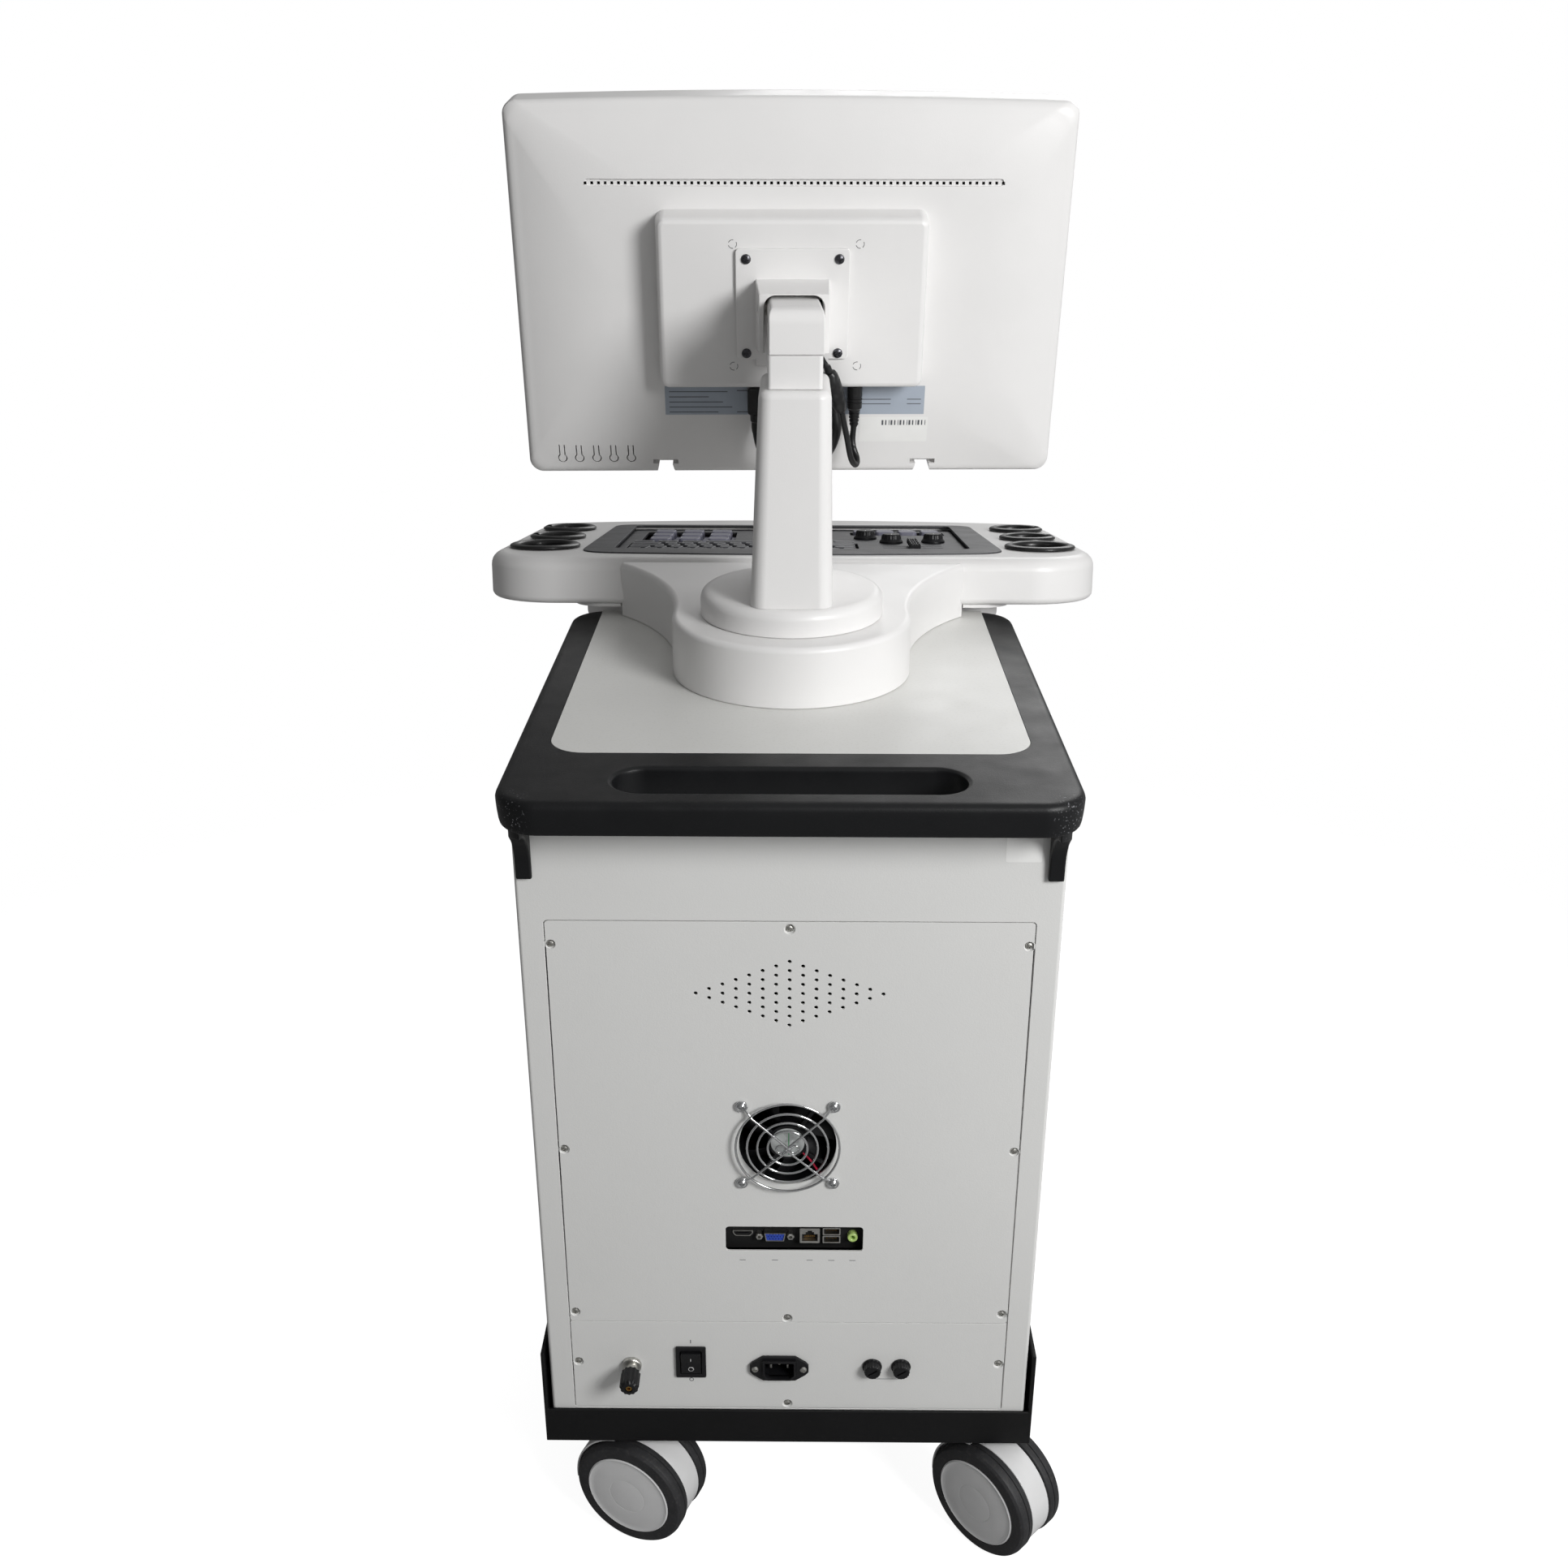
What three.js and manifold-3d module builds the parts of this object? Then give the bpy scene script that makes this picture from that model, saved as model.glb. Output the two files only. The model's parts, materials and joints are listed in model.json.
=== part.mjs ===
// Trolley ultrasound scanner: a wheeled cabinet, a sloping control console, and a monitor on a column.
// Millimetres, +Z up. The user stands on the -Y side, so +X is the user's right and +Y is the rear.
// The origin is on the floor, under the middle of the machine's box.
import * as THREE from "three";
import { mergeVertices } from "three/addons/utils/BufferGeometryUtils.js";
import Module from "manifold-3d";

const wasm = await Module();
wasm.setup();

// ---------- Driving dimensions ----------
// The cabinet's own frame has its origin at the bottom middle of the rear service panel.
const PANEL_ABOVE_FLOOR = 145;
const REAR_PANEL_Y = 357.8;
const GAP = 0.3;

const CABINET = { halfWidth: 199.5, depth: 404.5, bottom: -31, top: 553.7, sheet: 2.5 };
const PANEL = { width: 360, top: 464.6, seam: 92.5, sheet: 1.8, flange: 10 };
const TRAY = { halfWidth: 206, rear: 3, front: -408, bottom: -35, skirtTop: 60, sheet: 3 };
const SLAB = { halfWidth: 204, bottom: 554, top: 579, rear: 49, front: -408, edge: 5 };
const HANDLE_SLOT = { halfWidth: 124, front: -16.6, rear: 27.3 };
const TOP_PLATE = { halfWidth: 178, rear: -45, thickness: 1.7, cornerRadius: 27 };

const CONSOLE = { rear: -390, rearHeight: 634, slope: 8, thickness: 43, wall: 3.5, edge: 12 };
const CONSOLE_PLAN = {
  rearHalf: 220, half: 288.5, frontHalf: 281.5, cornerRadius: 68.5, side: 270, depth: 380,
};
const NECK = { centreY: -235, lobeRadius: 99, flareRadius: 206, top: 629, edge: 5, endY: -387 };

const COLUMN = { y: -232.5, base: 650.3, top: 816, width: 65, depth: 125, topScale: 0.85, radius: 12 };
const COLUMN_DISC = { radius: 75, y: -235, bottom: 629.3, top: 650, edge: 8 };
const COLUMN_LEAN = -2.3;
const POST = { halfWidth: 21, rear: -190, front: -262, bottom: 816.3, top: 841 };
const HEAD_HEIGHTS = { bottom: 841.3, top: 875.2 };
const SWIVEL_Y = -226;

const MONITOR = { y: -311, z: 864.5, tilt: -7.7, yaw: 1.8, width: 459.5, bottom: -155, top: 150 };
const MONITOR_DEPTHS = { frontFace: -84, rim: -53, backFlat: -28 };
const MONITOR_WINDOW = { width: 408, height: 255 };
const BULGE = { width: 222, bottom: -70, top: 70, depth: 30 };
const VESA_PLATE = { size: 90, thickness: 3 };
const HOOD = { halfWidth: 28.7, cheek: 6, bottom: -28, top: 22, depth: 54, roof: 2.2 };
const TILT_AXLE = { y: 30, z: 6, radius: 6, bore: 6.5, noseRadius: 12 };

const FAN = { x: 1, z: 269, size: 80, duct: 38, depth: 25, screw: 35.75 };
const GUARD_RADII = [38, 30, 23, 15, 8];
const SOCKET_CUTOUT = { right: 50, left: -59, bottom: 165.5, top: 189.5 };
const SWITCH = { x: 81, z: 51, halfWidth: 10.5, halfHeight: 13.5 };
const INLET = { x: 7.5, z: 45.5, halfWidth: 14.5, halfHeight: 10.5 };
const FUSES = { x: [-70, -94], z: 46.5, radius: 6 };
const GROUND = { x: 130.3, z: 47.3, radius: 3 };

const CASTER = {
  wheelRadius: 51, hubRadius: 39, halfWidth: 28.5, innerFace: 12, trail: 32.5, axle: 6, floorGap: 1.5,
};
const CASTER_PIVOT = { x: 158, rearY: -31, frontY: -370 };

// ---------- Materials ----------
function finish(colour, roughness, metalness = 0) {
  return new THREE.MeshStandardMaterial({ color: colour, roughness, metalness });
}
const OFF_WHITE = finish(0xe4e3df, 0.5);
const POWDER_COAT = finish(0xdedcd6, 0.55, 0.1);
const LAMINATE = finish(0xd5d3cc, 0.45);
const BLACK_PLASTIC = finish(0x26262a, 0.5);
const BLACK_STEEL = finish(0x1d1e20, 0.5, 0.3);
const DARK_GREY = finish(0x3b3c3f, 0.55);
const LILAC_GREY = finish(0x7d7d8c, 0.5);
const BLACK_RUBBER = finish(0x101011, 0.3);
const TYRE_RUBBER = finish(0x2b2c2e, 0.75);
const CASTER_GREY = finish(0x9da0a3, 0.5);
const CHROME = finish(0xd0d2d4, 0.2, 1);
const ZINC = finish(0xb4b7b8, 0.4, 0.9);
const SCREEN = finish(0x0c0d10, 0.15);
const BOARD_GREEN = finish(0x1e5a37, 0.6);

// ---------- Solids ----------
const degrees = THREE.MathUtils.degToRad;

function signedVolume(points, triangles) {
  const corner = [new THREE.Vector3(), new THREE.Vector3(), new THREE.Vector3()];
  let sixfold = 0;
  for (let i = 0; i < triangles.length; i += 3) {
    corner.forEach((v, k) => v.fromArray(points, 3 * triangles[i + k]));
    sixfold += corner[0].dot(corner[1].cross(corner[2]));
  }
  return sixfold / 6;
}

// A closed geometry as a solid that can be joined and cut, with its faces turned outwards.
function solid(geometry) {
  const bare = geometry.index ? geometry.toNonIndexed() : geometry.clone();
  bare.deleteAttribute("normal");
  bare.deleteAttribute("uv");
  const merged = mergeVertices(bare, 1e-4);
  const points = merged.attributes.position.array;
  const triangles = new Uint32Array(merged.index.array);
  if (signedVolume(points, triangles) < 0) triangles.reverse();
  return new wasm.Manifold(
    new wasm.Mesh({ numProp: 3, vertProperties: points, triVerts: triangles }),
  );
}

function geometryOf(body) {
  const mesh = body.getMesh();
  const geometry = new THREE.BufferGeometry();
  geometry.setAttribute("position", new THREE.BufferAttribute(mesh.vertProperties, 3));
  geometry.setIndex(new THREE.BufferAttribute(mesh.triVerts, 1));
  geometry.computeVertexNormals();
  return geometry;
}

function join(first, ...others) {
  return others.reduce((whole, piece) => whole.add(piece), first);
}

function cut(first, ...tools) {
  return tools.reduce((whole, tool) => whole.subtract(tool), first);
}

function piece(group, name, body, material) {
  const mesh = new THREE.Mesh(geometryOf(body), material);
  mesh.name = name;
  group.add(mesh);
}

function block(x0, x1, y0, y1, z0, z1) {
  const geometry = new THREE.BoxGeometry(x1 - x0, y1 - y0, z1 - z0);
  return solid(geometry.translate((x0 + x1) / 2, (y0 + y1) / 2, (z0 + z1) / 2));
}

// Turns a geometry whose axis is Y so that its axis is "x", "y" or "z".
function alignAxis(geometry, axis) {
  if (axis === "z") geometry.rotateX(Math.PI / 2);
  if (axis === "x") geometry.rotateZ(-Math.PI / 2);
  return geometry;
}

// A round bar centred on (x, y, z).
function rod(radius, length, axis, x, y, z, sides = 20) {
  const geometry = new THREE.CylinderGeometry(radius, radius, length, sides);
  return solid(alignAxis(geometry, axis).translate(x, y, z));
}

// A turned piece: the profile holds [radius, height] pairs from one end to the other.
function turned(profile, axis, x, y, z, sides = 20) {
  const points = profile.map(([radius, height]) => new THREE.Vector2(radius, height));
  return solid(alignAxis(new THREE.LatheGeometry(points, sides), axis).translate(x, y, z));
}

function roundedRectangle(x0, x1, y0, y1, radius) {
  const shape = new THREE.Shape();
  shape.moveTo(x0 + radius, y0);
  shape.lineTo(x1 - radius, y0);
  shape.absarc(x1 - radius, y0 + radius, radius, -Math.PI / 2, 0, false);
  shape.lineTo(x1, y1 - radius);
  shape.absarc(x1 - radius, y1 - radius, radius, 0, Math.PI / 2, false);
  shape.lineTo(x0 + radius, y1);
  shape.absarc(x0 + radius, y1 - radius, radius, Math.PI / 2, Math.PI, false);
  shape.lineTo(x0, y0 + radius);
  shape.absarc(x0 + radius, y0 + radius, radius, Math.PI, 1.5 * Math.PI, false);
  return shape;
}

function extrusion(shape, length, edge = 0, curveSegments = 4, edgeSegments = 3) {
  const geometry = new THREE.ExtrudeGeometry(shape, {
    depth: length - 2 * edge,
    bevelEnabled: edge > 0,
    bevelThickness: edge,
    bevelSize: edge,
    bevelOffset: -edge,
    bevelSegments: edgeSegments,
    curveSegments,
  });
  return geometry.translate(0, 0, edge);
}

// A shape drawn in X and Y, standing from z0 to z1, with rounded edges if an edge radius is given.
function upright(shape, z0, z1, edge = 0, curveSegments = 4, edgeSegments = 3) {
  return solid(extrusion(shape, z1 - z0, edge, curveSegments, edgeSegments).translate(0, 0, z0));
}

// A shape drawn in X and Z, running from y0 to y1.
function facing(shape, y0, y1, edge = 0, curveSegments = 4, edgeSegments = 3) {
  const geometry = extrusion(shape, y1 - y0, edge, curveSegments, edgeSegments);
  return solid(geometry.rotateX(Math.PI / 2).translate(0, y1, 0));
}

// A shape drawn in Y and Z, running from x0 to x1.
function sideways(shape, x0, x1, edge = 0, curveSegments = 4) {
  const turn = new THREE.Matrix4().makeBasis(
    new THREE.Vector3(0, 1, 0),
    new THREE.Vector3(0, 0, 1),
    new THREE.Vector3(1, 0, 0),
  );
  const geometry = extrusion(shape, x1 - x0, edge, curveSegments);
  return solid(geometry.applyMatrix4(turn).translate(x0, 0, 0));
}

function polygon(points) {
  return new THREE.Shape(points.map(([a, b]) => new THREE.Vector2(a, b)));
}

function circle(x, y, radius) {
  return new THREE.Shape().absarc(x, y, radius, 0, 2 * Math.PI, false);
}

// A round tube along a smooth path, closed at both ends.
function cable(points, radius, steps, sides = 8) {
  const path = new THREE.CatmullRomCurve3(points.map((p) => new THREE.Vector3(...p)));
  const section = circle(0, 0, radius);
  return solid(
    new THREE.ExtrudeGeometry(section, { steps, extrudePath: path, curveSegments: sides / 2 }),
  );
}

// ---------- Cabinet ----------
function addBaseTray(group) {
  const { halfWidth, rear, front, bottom, skirtTop, sheet } = TRAY;
  const lipTop = -GAP;
  const floor = block(-halfWidth, halfWidth, front, rear, bottom, bottom + sheet);
  const skirts = [-1, 1].map((side) => {
    const inner = side * (halfWidth - sheet);
    const outer = side * halfWidth;
    return block(Math.min(inner, outer), Math.max(inner, outer), front, rear, bottom, skirtTop);
  });
  const rearLip = block(-halfWidth, halfWidth, rear - 2.5, rear, bottom, lipTop);
  const frontLip = block(-halfWidth, halfWidth, front, front + 2.5, bottom, lipTop);
  const bosses = casterPivots().map(({ x, y }) => rod(16, 5, "z", x, y, bottom - 1.5, 16));
  piece(group, "base_tray", join(floor, ...skirts, rearLip, frontLip, ...bosses), BLACK_STEEL);
}

function addCabinetShell(group) {
  const { halfWidth, depth, bottom, top, sheet } = CABINET;
  const half = PANEL.width / 2;
  const flange = PANEL.flange;
  const outer = upright(roundedRectangle(-halfWidth, halfWidth, -depth, 0, 5), bottom, top);
  const rearWall = 4.4;
  const hollow = block(
    sheet - halfWidth, halfWidth - sheet, sheet - depth, -rearWall, bottom + sheet, top - sheet,
  );
  const panelRebate = block(-half - GAP, half + GAP, -PANEL.sheet - GAP, 5, 0, PANEL.top + GAP);
  const rearOpening = block(flange - half, half - flange, -8, 5, flange, PANEL.top - flange);
  const frontOpening = block(-165, 165, -depth - 5, 10 - depth, 15, 505);
  piece(group, "cabinet_shell", cut(outer, hollow, panelRebate, rearOpening, frontOpening), POWDER_COAT);
}

// The upper service panel, with the fan opening and the connector cut-out.
function addRearPanel(group) {
  const half = PANEL.width / 2;
  const face = block(-half, half, -PANEL.sheet, 0, PANEL.seam + GAP, PANEL.top);
  const fanHole = rod(FAN.duct, 10, "y", FAN.x, 0, FAN.z, 20);
  const { left, right, bottom, top } = SOCKET_CUTOUT;
  const socketHole = facing(roundedRectangle(left, right, bottom, top, 3), -5, 5, 0, 1);
  piece(group, "rear_panel", cut(face, fanHole, socketHole), POWDER_COAT);
}

// The lower panel, with the openings of everything on the mains side.
function addPowerPanel(group) {
  const half = PANEL.width / 2;
  const face = block(-half, half, -PANEL.sheet, 0, GAP, PANEL.seam - GAP);
  const clearance = 0.5;
  const boxes = [SWITCH, INLET].map(({ x, z, halfWidth, halfHeight }) => {
    const w = halfWidth + clearance;
    const h = halfHeight + clearance;
    return block(x - w, x + w, -5, 5, z - h, z + h);
  });
  const fuseHoles = FUSES.x.map((x) => rod(FUSES.radius + clearance, 10, "y", x, 0, FUSES.z));
  const groundHole = rod(GROUND.radius + clearance, 10, "y", GROUND.x, 0, GROUND.z, 12);
  piece(group, "power_panel", cut(face, ...boxes, ...fuseHoles, groundHole), POWDER_COAT);
}

function addFrontPanel(group) {
  const y = -CABINET.depth - GAP;
  const face = roundedRectangle(-172, 172, 8, 512, 6);
  const louvres = [0, 1, 2, 3, 4].map((row) => {
    const bottom = 60 + 14 * row;
    return block(-70, 70, y - 10, y + 5, bottom, bottom + 6);
  });
  piece(group, "front_panel", cut(facing(face, y - 2, y, 0, 2), ...louvres), POWDER_COAT);
}

// The black slab on top of the cabinet. Its rear overhang is the push handle.
function addTopFrame(group) {
  const { halfWidth, bottom, top, rear, front, edge } = SLAB;
  const outline = roundedRectangle(-halfWidth, halfWidth, front, rear, 30);
  const slot = roundedRectangle(
    -HANDLE_SLOT.halfWidth, HANDLE_SLOT.halfWidth, HANDLE_SLOT.front, HANDLE_SLOT.rear, 21.9,
  );
  const recess = topPlateOutline(GAP);
  const recessFloor = top - TOP_PLATE.thickness - GAP;
  const underside = block(12 - halfWidth, halfWidth - 12, front + 12, -40, bottom - 5, top - 8);
  const body = cut(
    upright(outline, bottom, top, edge, 4, 2),
    upright(slot, bottom - 5, top + 5, 0, 5),
    upright(recess, recessFloor, top + 5, 0, 4),
    underside,
  );
  piece(group, "top_frame", body, BLACK_PLASTIC);
}

function topPlateOutline(margin) {
  const half = TOP_PLATE.halfWidth + margin;
  const rear = TOP_PLATE.rear + margin;
  const radius = TOP_PLATE.cornerRadius;
  const front = SLAB.front + 1;
  const shape = new THREE.Shape();
  shape.moveTo(-half, front - margin * 10);
  shape.lineTo(half, front - margin * 10);
  shape.lineTo(half, rear - radius);
  shape.absarc(half - radius, rear - radius, radius, 0, Math.PI / 2, false);
  shape.lineTo(radius - half, rear);
  shape.absarc(radius - half, rear - radius, radius, Math.PI / 2, Math.PI, false);
  return shape;
}

function addTopPlate(group) {
  const plate = upright(topPlateOutline(0), SLAB.top - TOP_PLATE.thickness, SLAB.top, 0, 4);
  piece(group, "top_plate", plate, LAMINATE);
}

// The curved gussets that carry the handle's overhang.
function addHandleBrackets(group) {
  const foot = 500;
  const reach = 42;
  const shape = new THREE.Shape();
  shape.moveTo(GAP, foot);
  shape.lineTo(4, foot);
  shape.quadraticCurveTo(8, 543, reach, 547);
  shape.lineTo(reach, SLAB.bottom - GAP);
  shape.lineTo(GAP, SLAB.bottom - GAP);
  const { halfWidth, rear, edge } = SLAB;
  const footprint = roundedRectangle(-halfWidth + 4, halfWidth - 4, -100, rear - edge, 26);
  const underFrame = upright(footprint, foot - 10, SLAB.top, 0, 5);
  const right = sideways(shape, 185.6, 199.4, 0, 8).intersect(underFrame);
  piece(group, "handle_bracket_right", right, BLACK_PLASTIC);
  piece(group, "handle_bracket_left", right.mirror([1, 0, 0]), BLACK_PLASTIC);
}

// The connector strip behind the panel's cut-out, with one raised socket per connector.
function addConnectorModule(group) {
  const board = block(-62, 53, -16, -12, 161, 194);
  const sockets = [
    [37, 11, 11],
    [11, 34, 12],
    [-17, 16, 14],
    [-34, 14, 15],
    [-51, 11, 11],
  ];
  const bodies = sockets.map(([x, width, height]) =>
    block(x - width / 2, x + width / 2, -13, -3, 177.5 - height / 2, 177.5 + height / 2),
  );
  piece(group, "io_module", join(board, ...bodies), BLACK_PLASTIC);
}

// ---------- Cooling fan ----------
function addFan(group) {
  const rear = -PANEL.sheet - GAP;
  const front = rear - FAN.depth;
  const half = FAN.size / 2;
  const frame = facing(
    roundedRectangle(FAN.x - half, FAN.x + half, FAN.z - half, FAN.z + half, 5), front, rear, 0, 2,
  );
  const duct = rod(FAN.duct, 100, "y", FAN.x, front, FAN.z, 24);
  const motorPlate = rod(15.5, 3, "y", FAN.x, rear - 1.5, FAN.z, 16);
  const arms = join(
    block(FAN.x - half + 1, FAN.x + half - 1, rear - 3, rear, FAN.z - 2, FAN.z + 2),
    block(FAN.x - 2, FAN.x + 2, rear - 3, rear, FAN.z - half + 1, FAN.z + half - 1),
  );
  piece(group, "fan_housing", join(cut(frame, duct), motorPlate, arms), BLACK_PLASTIC);

  const middle = front + 11;
  const hub = rod(15.5, 19, "y", FAN.x, middle, FAN.z, 20);
  const blades = [];
  const bladeCount = 7;
  for (let i = 0; i < bladeCount; i++) {
    const blade = new THREE.BoxGeometry(23, 17, 1.6);
    blade.rotateX(degrees(38)).translate(25, 0, 0).rotateY((2 * Math.PI * i) / bladeCount);
    blades.push(solid(blade.translate(FAN.x, middle, FAN.z)));
  }
  piece(group, "fan_rotor", join(hub, ...blades), BLACK_PLASTIC);
}

// Wire guard: rings, two bent cross wires and a loop at each screw.
function addFanGuard(group) {
  const wire = 2;
  const near = GAP;
  const far = GAP + wire;
  const ring = (x, z, radius, sides) =>
    cut(
      rod(radius + wire / 2, wire, "y", x, near + wire / 2, z, sides),
      rod(radius - wire / 2, 3 * wire, "y", x, near + wire / 2, z, sides),
    );
  const bar = (x0, z0, x1, z1) => {
    const length = Math.hypot(x1 - x0, z1 - z0);
    const geometry = new THREE.BoxGeometry(length, wire, wire);
    geometry.rotateY(-Math.atan2(z1 - z0, x1 - x0));
    return solid(geometry.translate((x0 + x1) / 2, (near + far) / 2, (z0 + z1) / 2));
  };
  const rings = GUARD_RADII.map((radius) => ring(FAN.x, FAN.z, radius, 14));
  const wires = [];
  for (const side of [-1, 1]) {
    for (const end of [-1, 1]) {
      const x = FAN.x + side * FAN.screw;
      const z = FAN.z + end * FAN.screw;
      wires.push(bar(FAN.x + side * 5, FAN.z, x - side * 3, z - end * 3));
      wires.push(ring(x, z, 4, 6));
    }
  }
  piece(group, "fan_guard", join(...rings, ...wires, bar(FAN.x - 8, FAN.z, FAN.x + 8, FAN.z)), CHROME);
}

// ---------- Mains side ----------
function addPowerSwitch(group) {
  const { x, z, halfWidth, halfHeight } = SWITCH;
  const flange = facing(roundedRectangle(x - 12.5, x + 12.5, z - 15.9, z + 15.9, 2), GAP, 2.2, 0, 2);
  const housing = block(x - halfWidth, x + halfWidth, -18, 1, z - halfHeight, z + halfHeight);
  const well = block(x - 8.8, x + 8.8, -12, 5, z - 11.8, z + 11.8);
  piece(group, "switch_body", cut(join(flange, housing), well), BLACK_PLASTIC);

  const rocker = new THREE.Shape();
  rocker.moveTo(-8, z - 4);
  rocker.lineTo(-1.5, z - 11);
  rocker.lineTo(2.2, z - 10.8);
  rocker.lineTo(3.2, z);
  rocker.lineTo(5, z + 9.8);
  rocker.lineTo(-0.5, z + 11);
  rocker.lineTo(-8, z + 4);
  piece(group, "power_rocker", sideways(rocker, x - 8.3, x + 8.3), BLACK_PLASTIC);
}

function addMainsInlet(group) {
  const { x, z, halfWidth, halfHeight } = INLET;
  const flange = facing(roundedRectangle(x - 24.7, x + 24.7, z - 13, z + 13, 5), GAP, 3, 0, 3);
  const housing = block(x - halfWidth, x + halfWidth, -24, 1, z - halfHeight, z + halfHeight);
  const socket = block(x - 12, x + 12, -17, 5, z - 8, z + 8);
  const pins = [
    [-7, -1.5],
    [0, 1.5],
    [7, -1.5],
  ].map(([dx, dz]) => block(x + dx - 1, x + dx + 1, -18, -3, z + dz - 2.5, z + dz + 2.5));
  piece(group, "mains_inlet", join(cut(join(flange, housing), socket), ...pins), BLACK_PLASTIC);
}

function addFuseHolder(group, name, x) {
  const { z, radius } = FUSES;
  const profile = [[0, -26], [radius, -26], [radius, GAP], [7.5, GAP], [7.5, 3.5], [6.2, 4]];
  profile.push([6.2, 8], [0, 8]);
  const body = turned(profile, "y", x, 0, z, 16);
  piece(group, name, cut(body, block(x - 4.5, x + 4.5, 6.5, 12, z - 0.8, z + 0.8)), BLACK_PLASTIC);
}

function addGroundTerminal(group) {
  const { x, z, radius } = GROUND;
  const profile = [[0, -12], [radius, -12], [radius, GAP], [8, GAP], [8, 4], [5, 4.5], [5, 11]];
  profile.push([8, 11.5], [8, 27], [5, 29], [0, 29]);
  piece(group, "ground_terminal", turned(profile, "y", x, 0, z, 14), ZINC);
}

function addElectronics(group) {
  const floor = CABINET.bottom + CABINET.sheet + GAP;
  const supply = block(-85, 85, -260, -110, floor, floor + 62);
  piece(group, "power_supply", supply, ZINC);

  const boardY = -300;
  const board = block(-150, 150, boardY - 2, boardY, floor, 420);
  const foot = block(-150, 150, boardY - 1, boardY + 35, floor, floor + 3);
  const heatSinks = [-80, 0, 80].map((x) => block(x - 28, x + 28, boardY - 1, boardY + 24, 230, 300));
  piece(group, "main_board", join(board, foot, ...heatSinks), BOARD_GREEN);
}

// ---------- Console ----------
// The console's frame has its origin at the rear edge of the sloping top. Y runs to the rear and
// Z is square to the top.
function consolePlace() {
  const place = new THREE.Matrix4().makeRotationX(degrees(CONSOLE.slope));
  return place.setPosition(0, CONSOLE.rear, CONSOLE.rearHeight);
}

// The console's plan, pulled in by an inset: straight rear, large rear corners, crowned front.
function consoleOutline(inset) {
  const { rearHalf, half, frontHalf, cornerRadius, side, depth } = CONSOLE_PLAN;
  const radius = cornerRadius - inset;
  const frontSide = 350 - inset;
  const shape = new THREE.Shape();
  shape.moveTo(-rearHalf, -inset);
  shape.absarc(-rearHalf, -cornerRadius, radius, Math.PI / 2, Math.PI, false);
  shape.lineTo(inset - frontHalf, -side);
  shape.quadraticCurveTo(inset - frontHalf + 4, 10 - frontSide, -228, -frontSide);
  shape.quadraticCurveTo(-120, inset - depth, 0, inset - depth);
  shape.quadraticCurveTo(120, inset - depth, 228, -frontSide);
  shape.quadraticCurveTo(frontHalf - inset - 4, 10 - frontSide, frontHalf - inset, -side);
  shape.lineTo(half - inset, -cornerRadius);
  shape.absarc(rearHalf, -cornerRadius, radius, 0, Math.PI / 2, false);
  return shape;
}

// The neck's plan: a round lobe under the column that flares out to the console.
function neckOutline() {
  const { centreY, lobeRadius, flareRadius, endY } = NECK;
  const flareX = 304.9;
  const flareY = -243;
  const bend = Math.atan2(centreY - flareY, -flareX);
  const reach = Math.sqrt(flareRadius ** 2 - (endY - flareY) ** 2);
  const endX = flareX - reach;
  const endAngle = Math.atan2(endY - flareY, -reach);
  const lobeAngle = Math.atan2(flareY - centreY, flareX);
  const insideConsole = CONSOLE.rear - 12;
  const shape = new THREE.Shape();
  shape.moveTo(-endX, insideConsole);
  shape.lineTo(endX, insideConsole);
  shape.lineTo(endX, endY);
  shape.absarc(flareX, flareY, flareRadius, endAngle, bend - 2 * Math.PI, true);
  shape.absarc(0, centreY, lobeRadius, lobeAngle, Math.PI - lobeAngle, false);
  shape.absarc(-flareX, flareY, flareRadius, Math.PI - bend, Math.PI - endAngle, true);
  return shape;
}

const HOLDERS = [
  { name: "rear", lip: 34, bore: 25, y: -85, slot: 0 },
  { name: "middle", lip: 28.5, bore: 20, y: -170, slot: 11 },
  { name: "front", lip: 28.5, bore: 20, y: -256, slot: 11 },
];
const HOLDER_X = 240;
const HOLDER_DEPTH = 43;
const HOLDER_FLOOR = 3;
const HOLDER_WALL = 3;
const WINDOW = { halfWidth: 176, rear: -62, front: -296 };

// The six round openings that the cups drop into, through the wall at the given height.
function holderHoles(height) {
  const tools = [];
  for (const side of [-1, 1]) {
    for (const holder of HOLDERS) {
      const radius = holder.bore + HOLDER_WALL + GAP;
      tools.push(rod(radius, 20, "z", side * HOLDER_X, holder.y, height, 16));
    }
  }
  return tools;
}

function addUpperShell(group) {
  const { thickness, wall, edge } = CONSOLE;
  const outer = upright(consoleOutline(0), -thickness - edge, 0, edge, 4, 2);
  const inner = upright(consoleOutline(wall), -thickness - 30, -wall, 0, 3);
  const below = block(-400, 400, -500, 100, -thickness - 60, -thickness);
  const bezelPocket = upright(bezelOutline(GAP), -1.5, 5, 0, 4);
  const window = block(-WINDOW.halfWidth, WINDOW.halfWidth, WINDOW.front, WINDOW.rear, -20, 5);
  const tray = cut(outer, inner, below, bezelPocket, window, ...holderHoles(0));
  const tilted = solid(geometryOf(tray).applyMatrix4(consolePlace()));

  const seat = SLAB.top + GAP;
  const neckPrism = upright(neckOutline(), seat - 20, NECK.top, NECK.edge, 7, 2);
  const underNeck = block(-300, 300, -500, 0, seat - 40, seat);
  const lobeHollow = rod(90, 45, "z", 0, NECK.centreY, seat + 18, 20);
  const passage = block(-85, 85, NECK.endY - 2, NECK.centreY, seat - 5, NECK.top - wall - 5);
  const neck = cut(neckPrism, underNeck, lobeHollow, passage);
  piece(group, "console_upper_shell", join(tilted, neck), OFF_WHITE);
}

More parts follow.
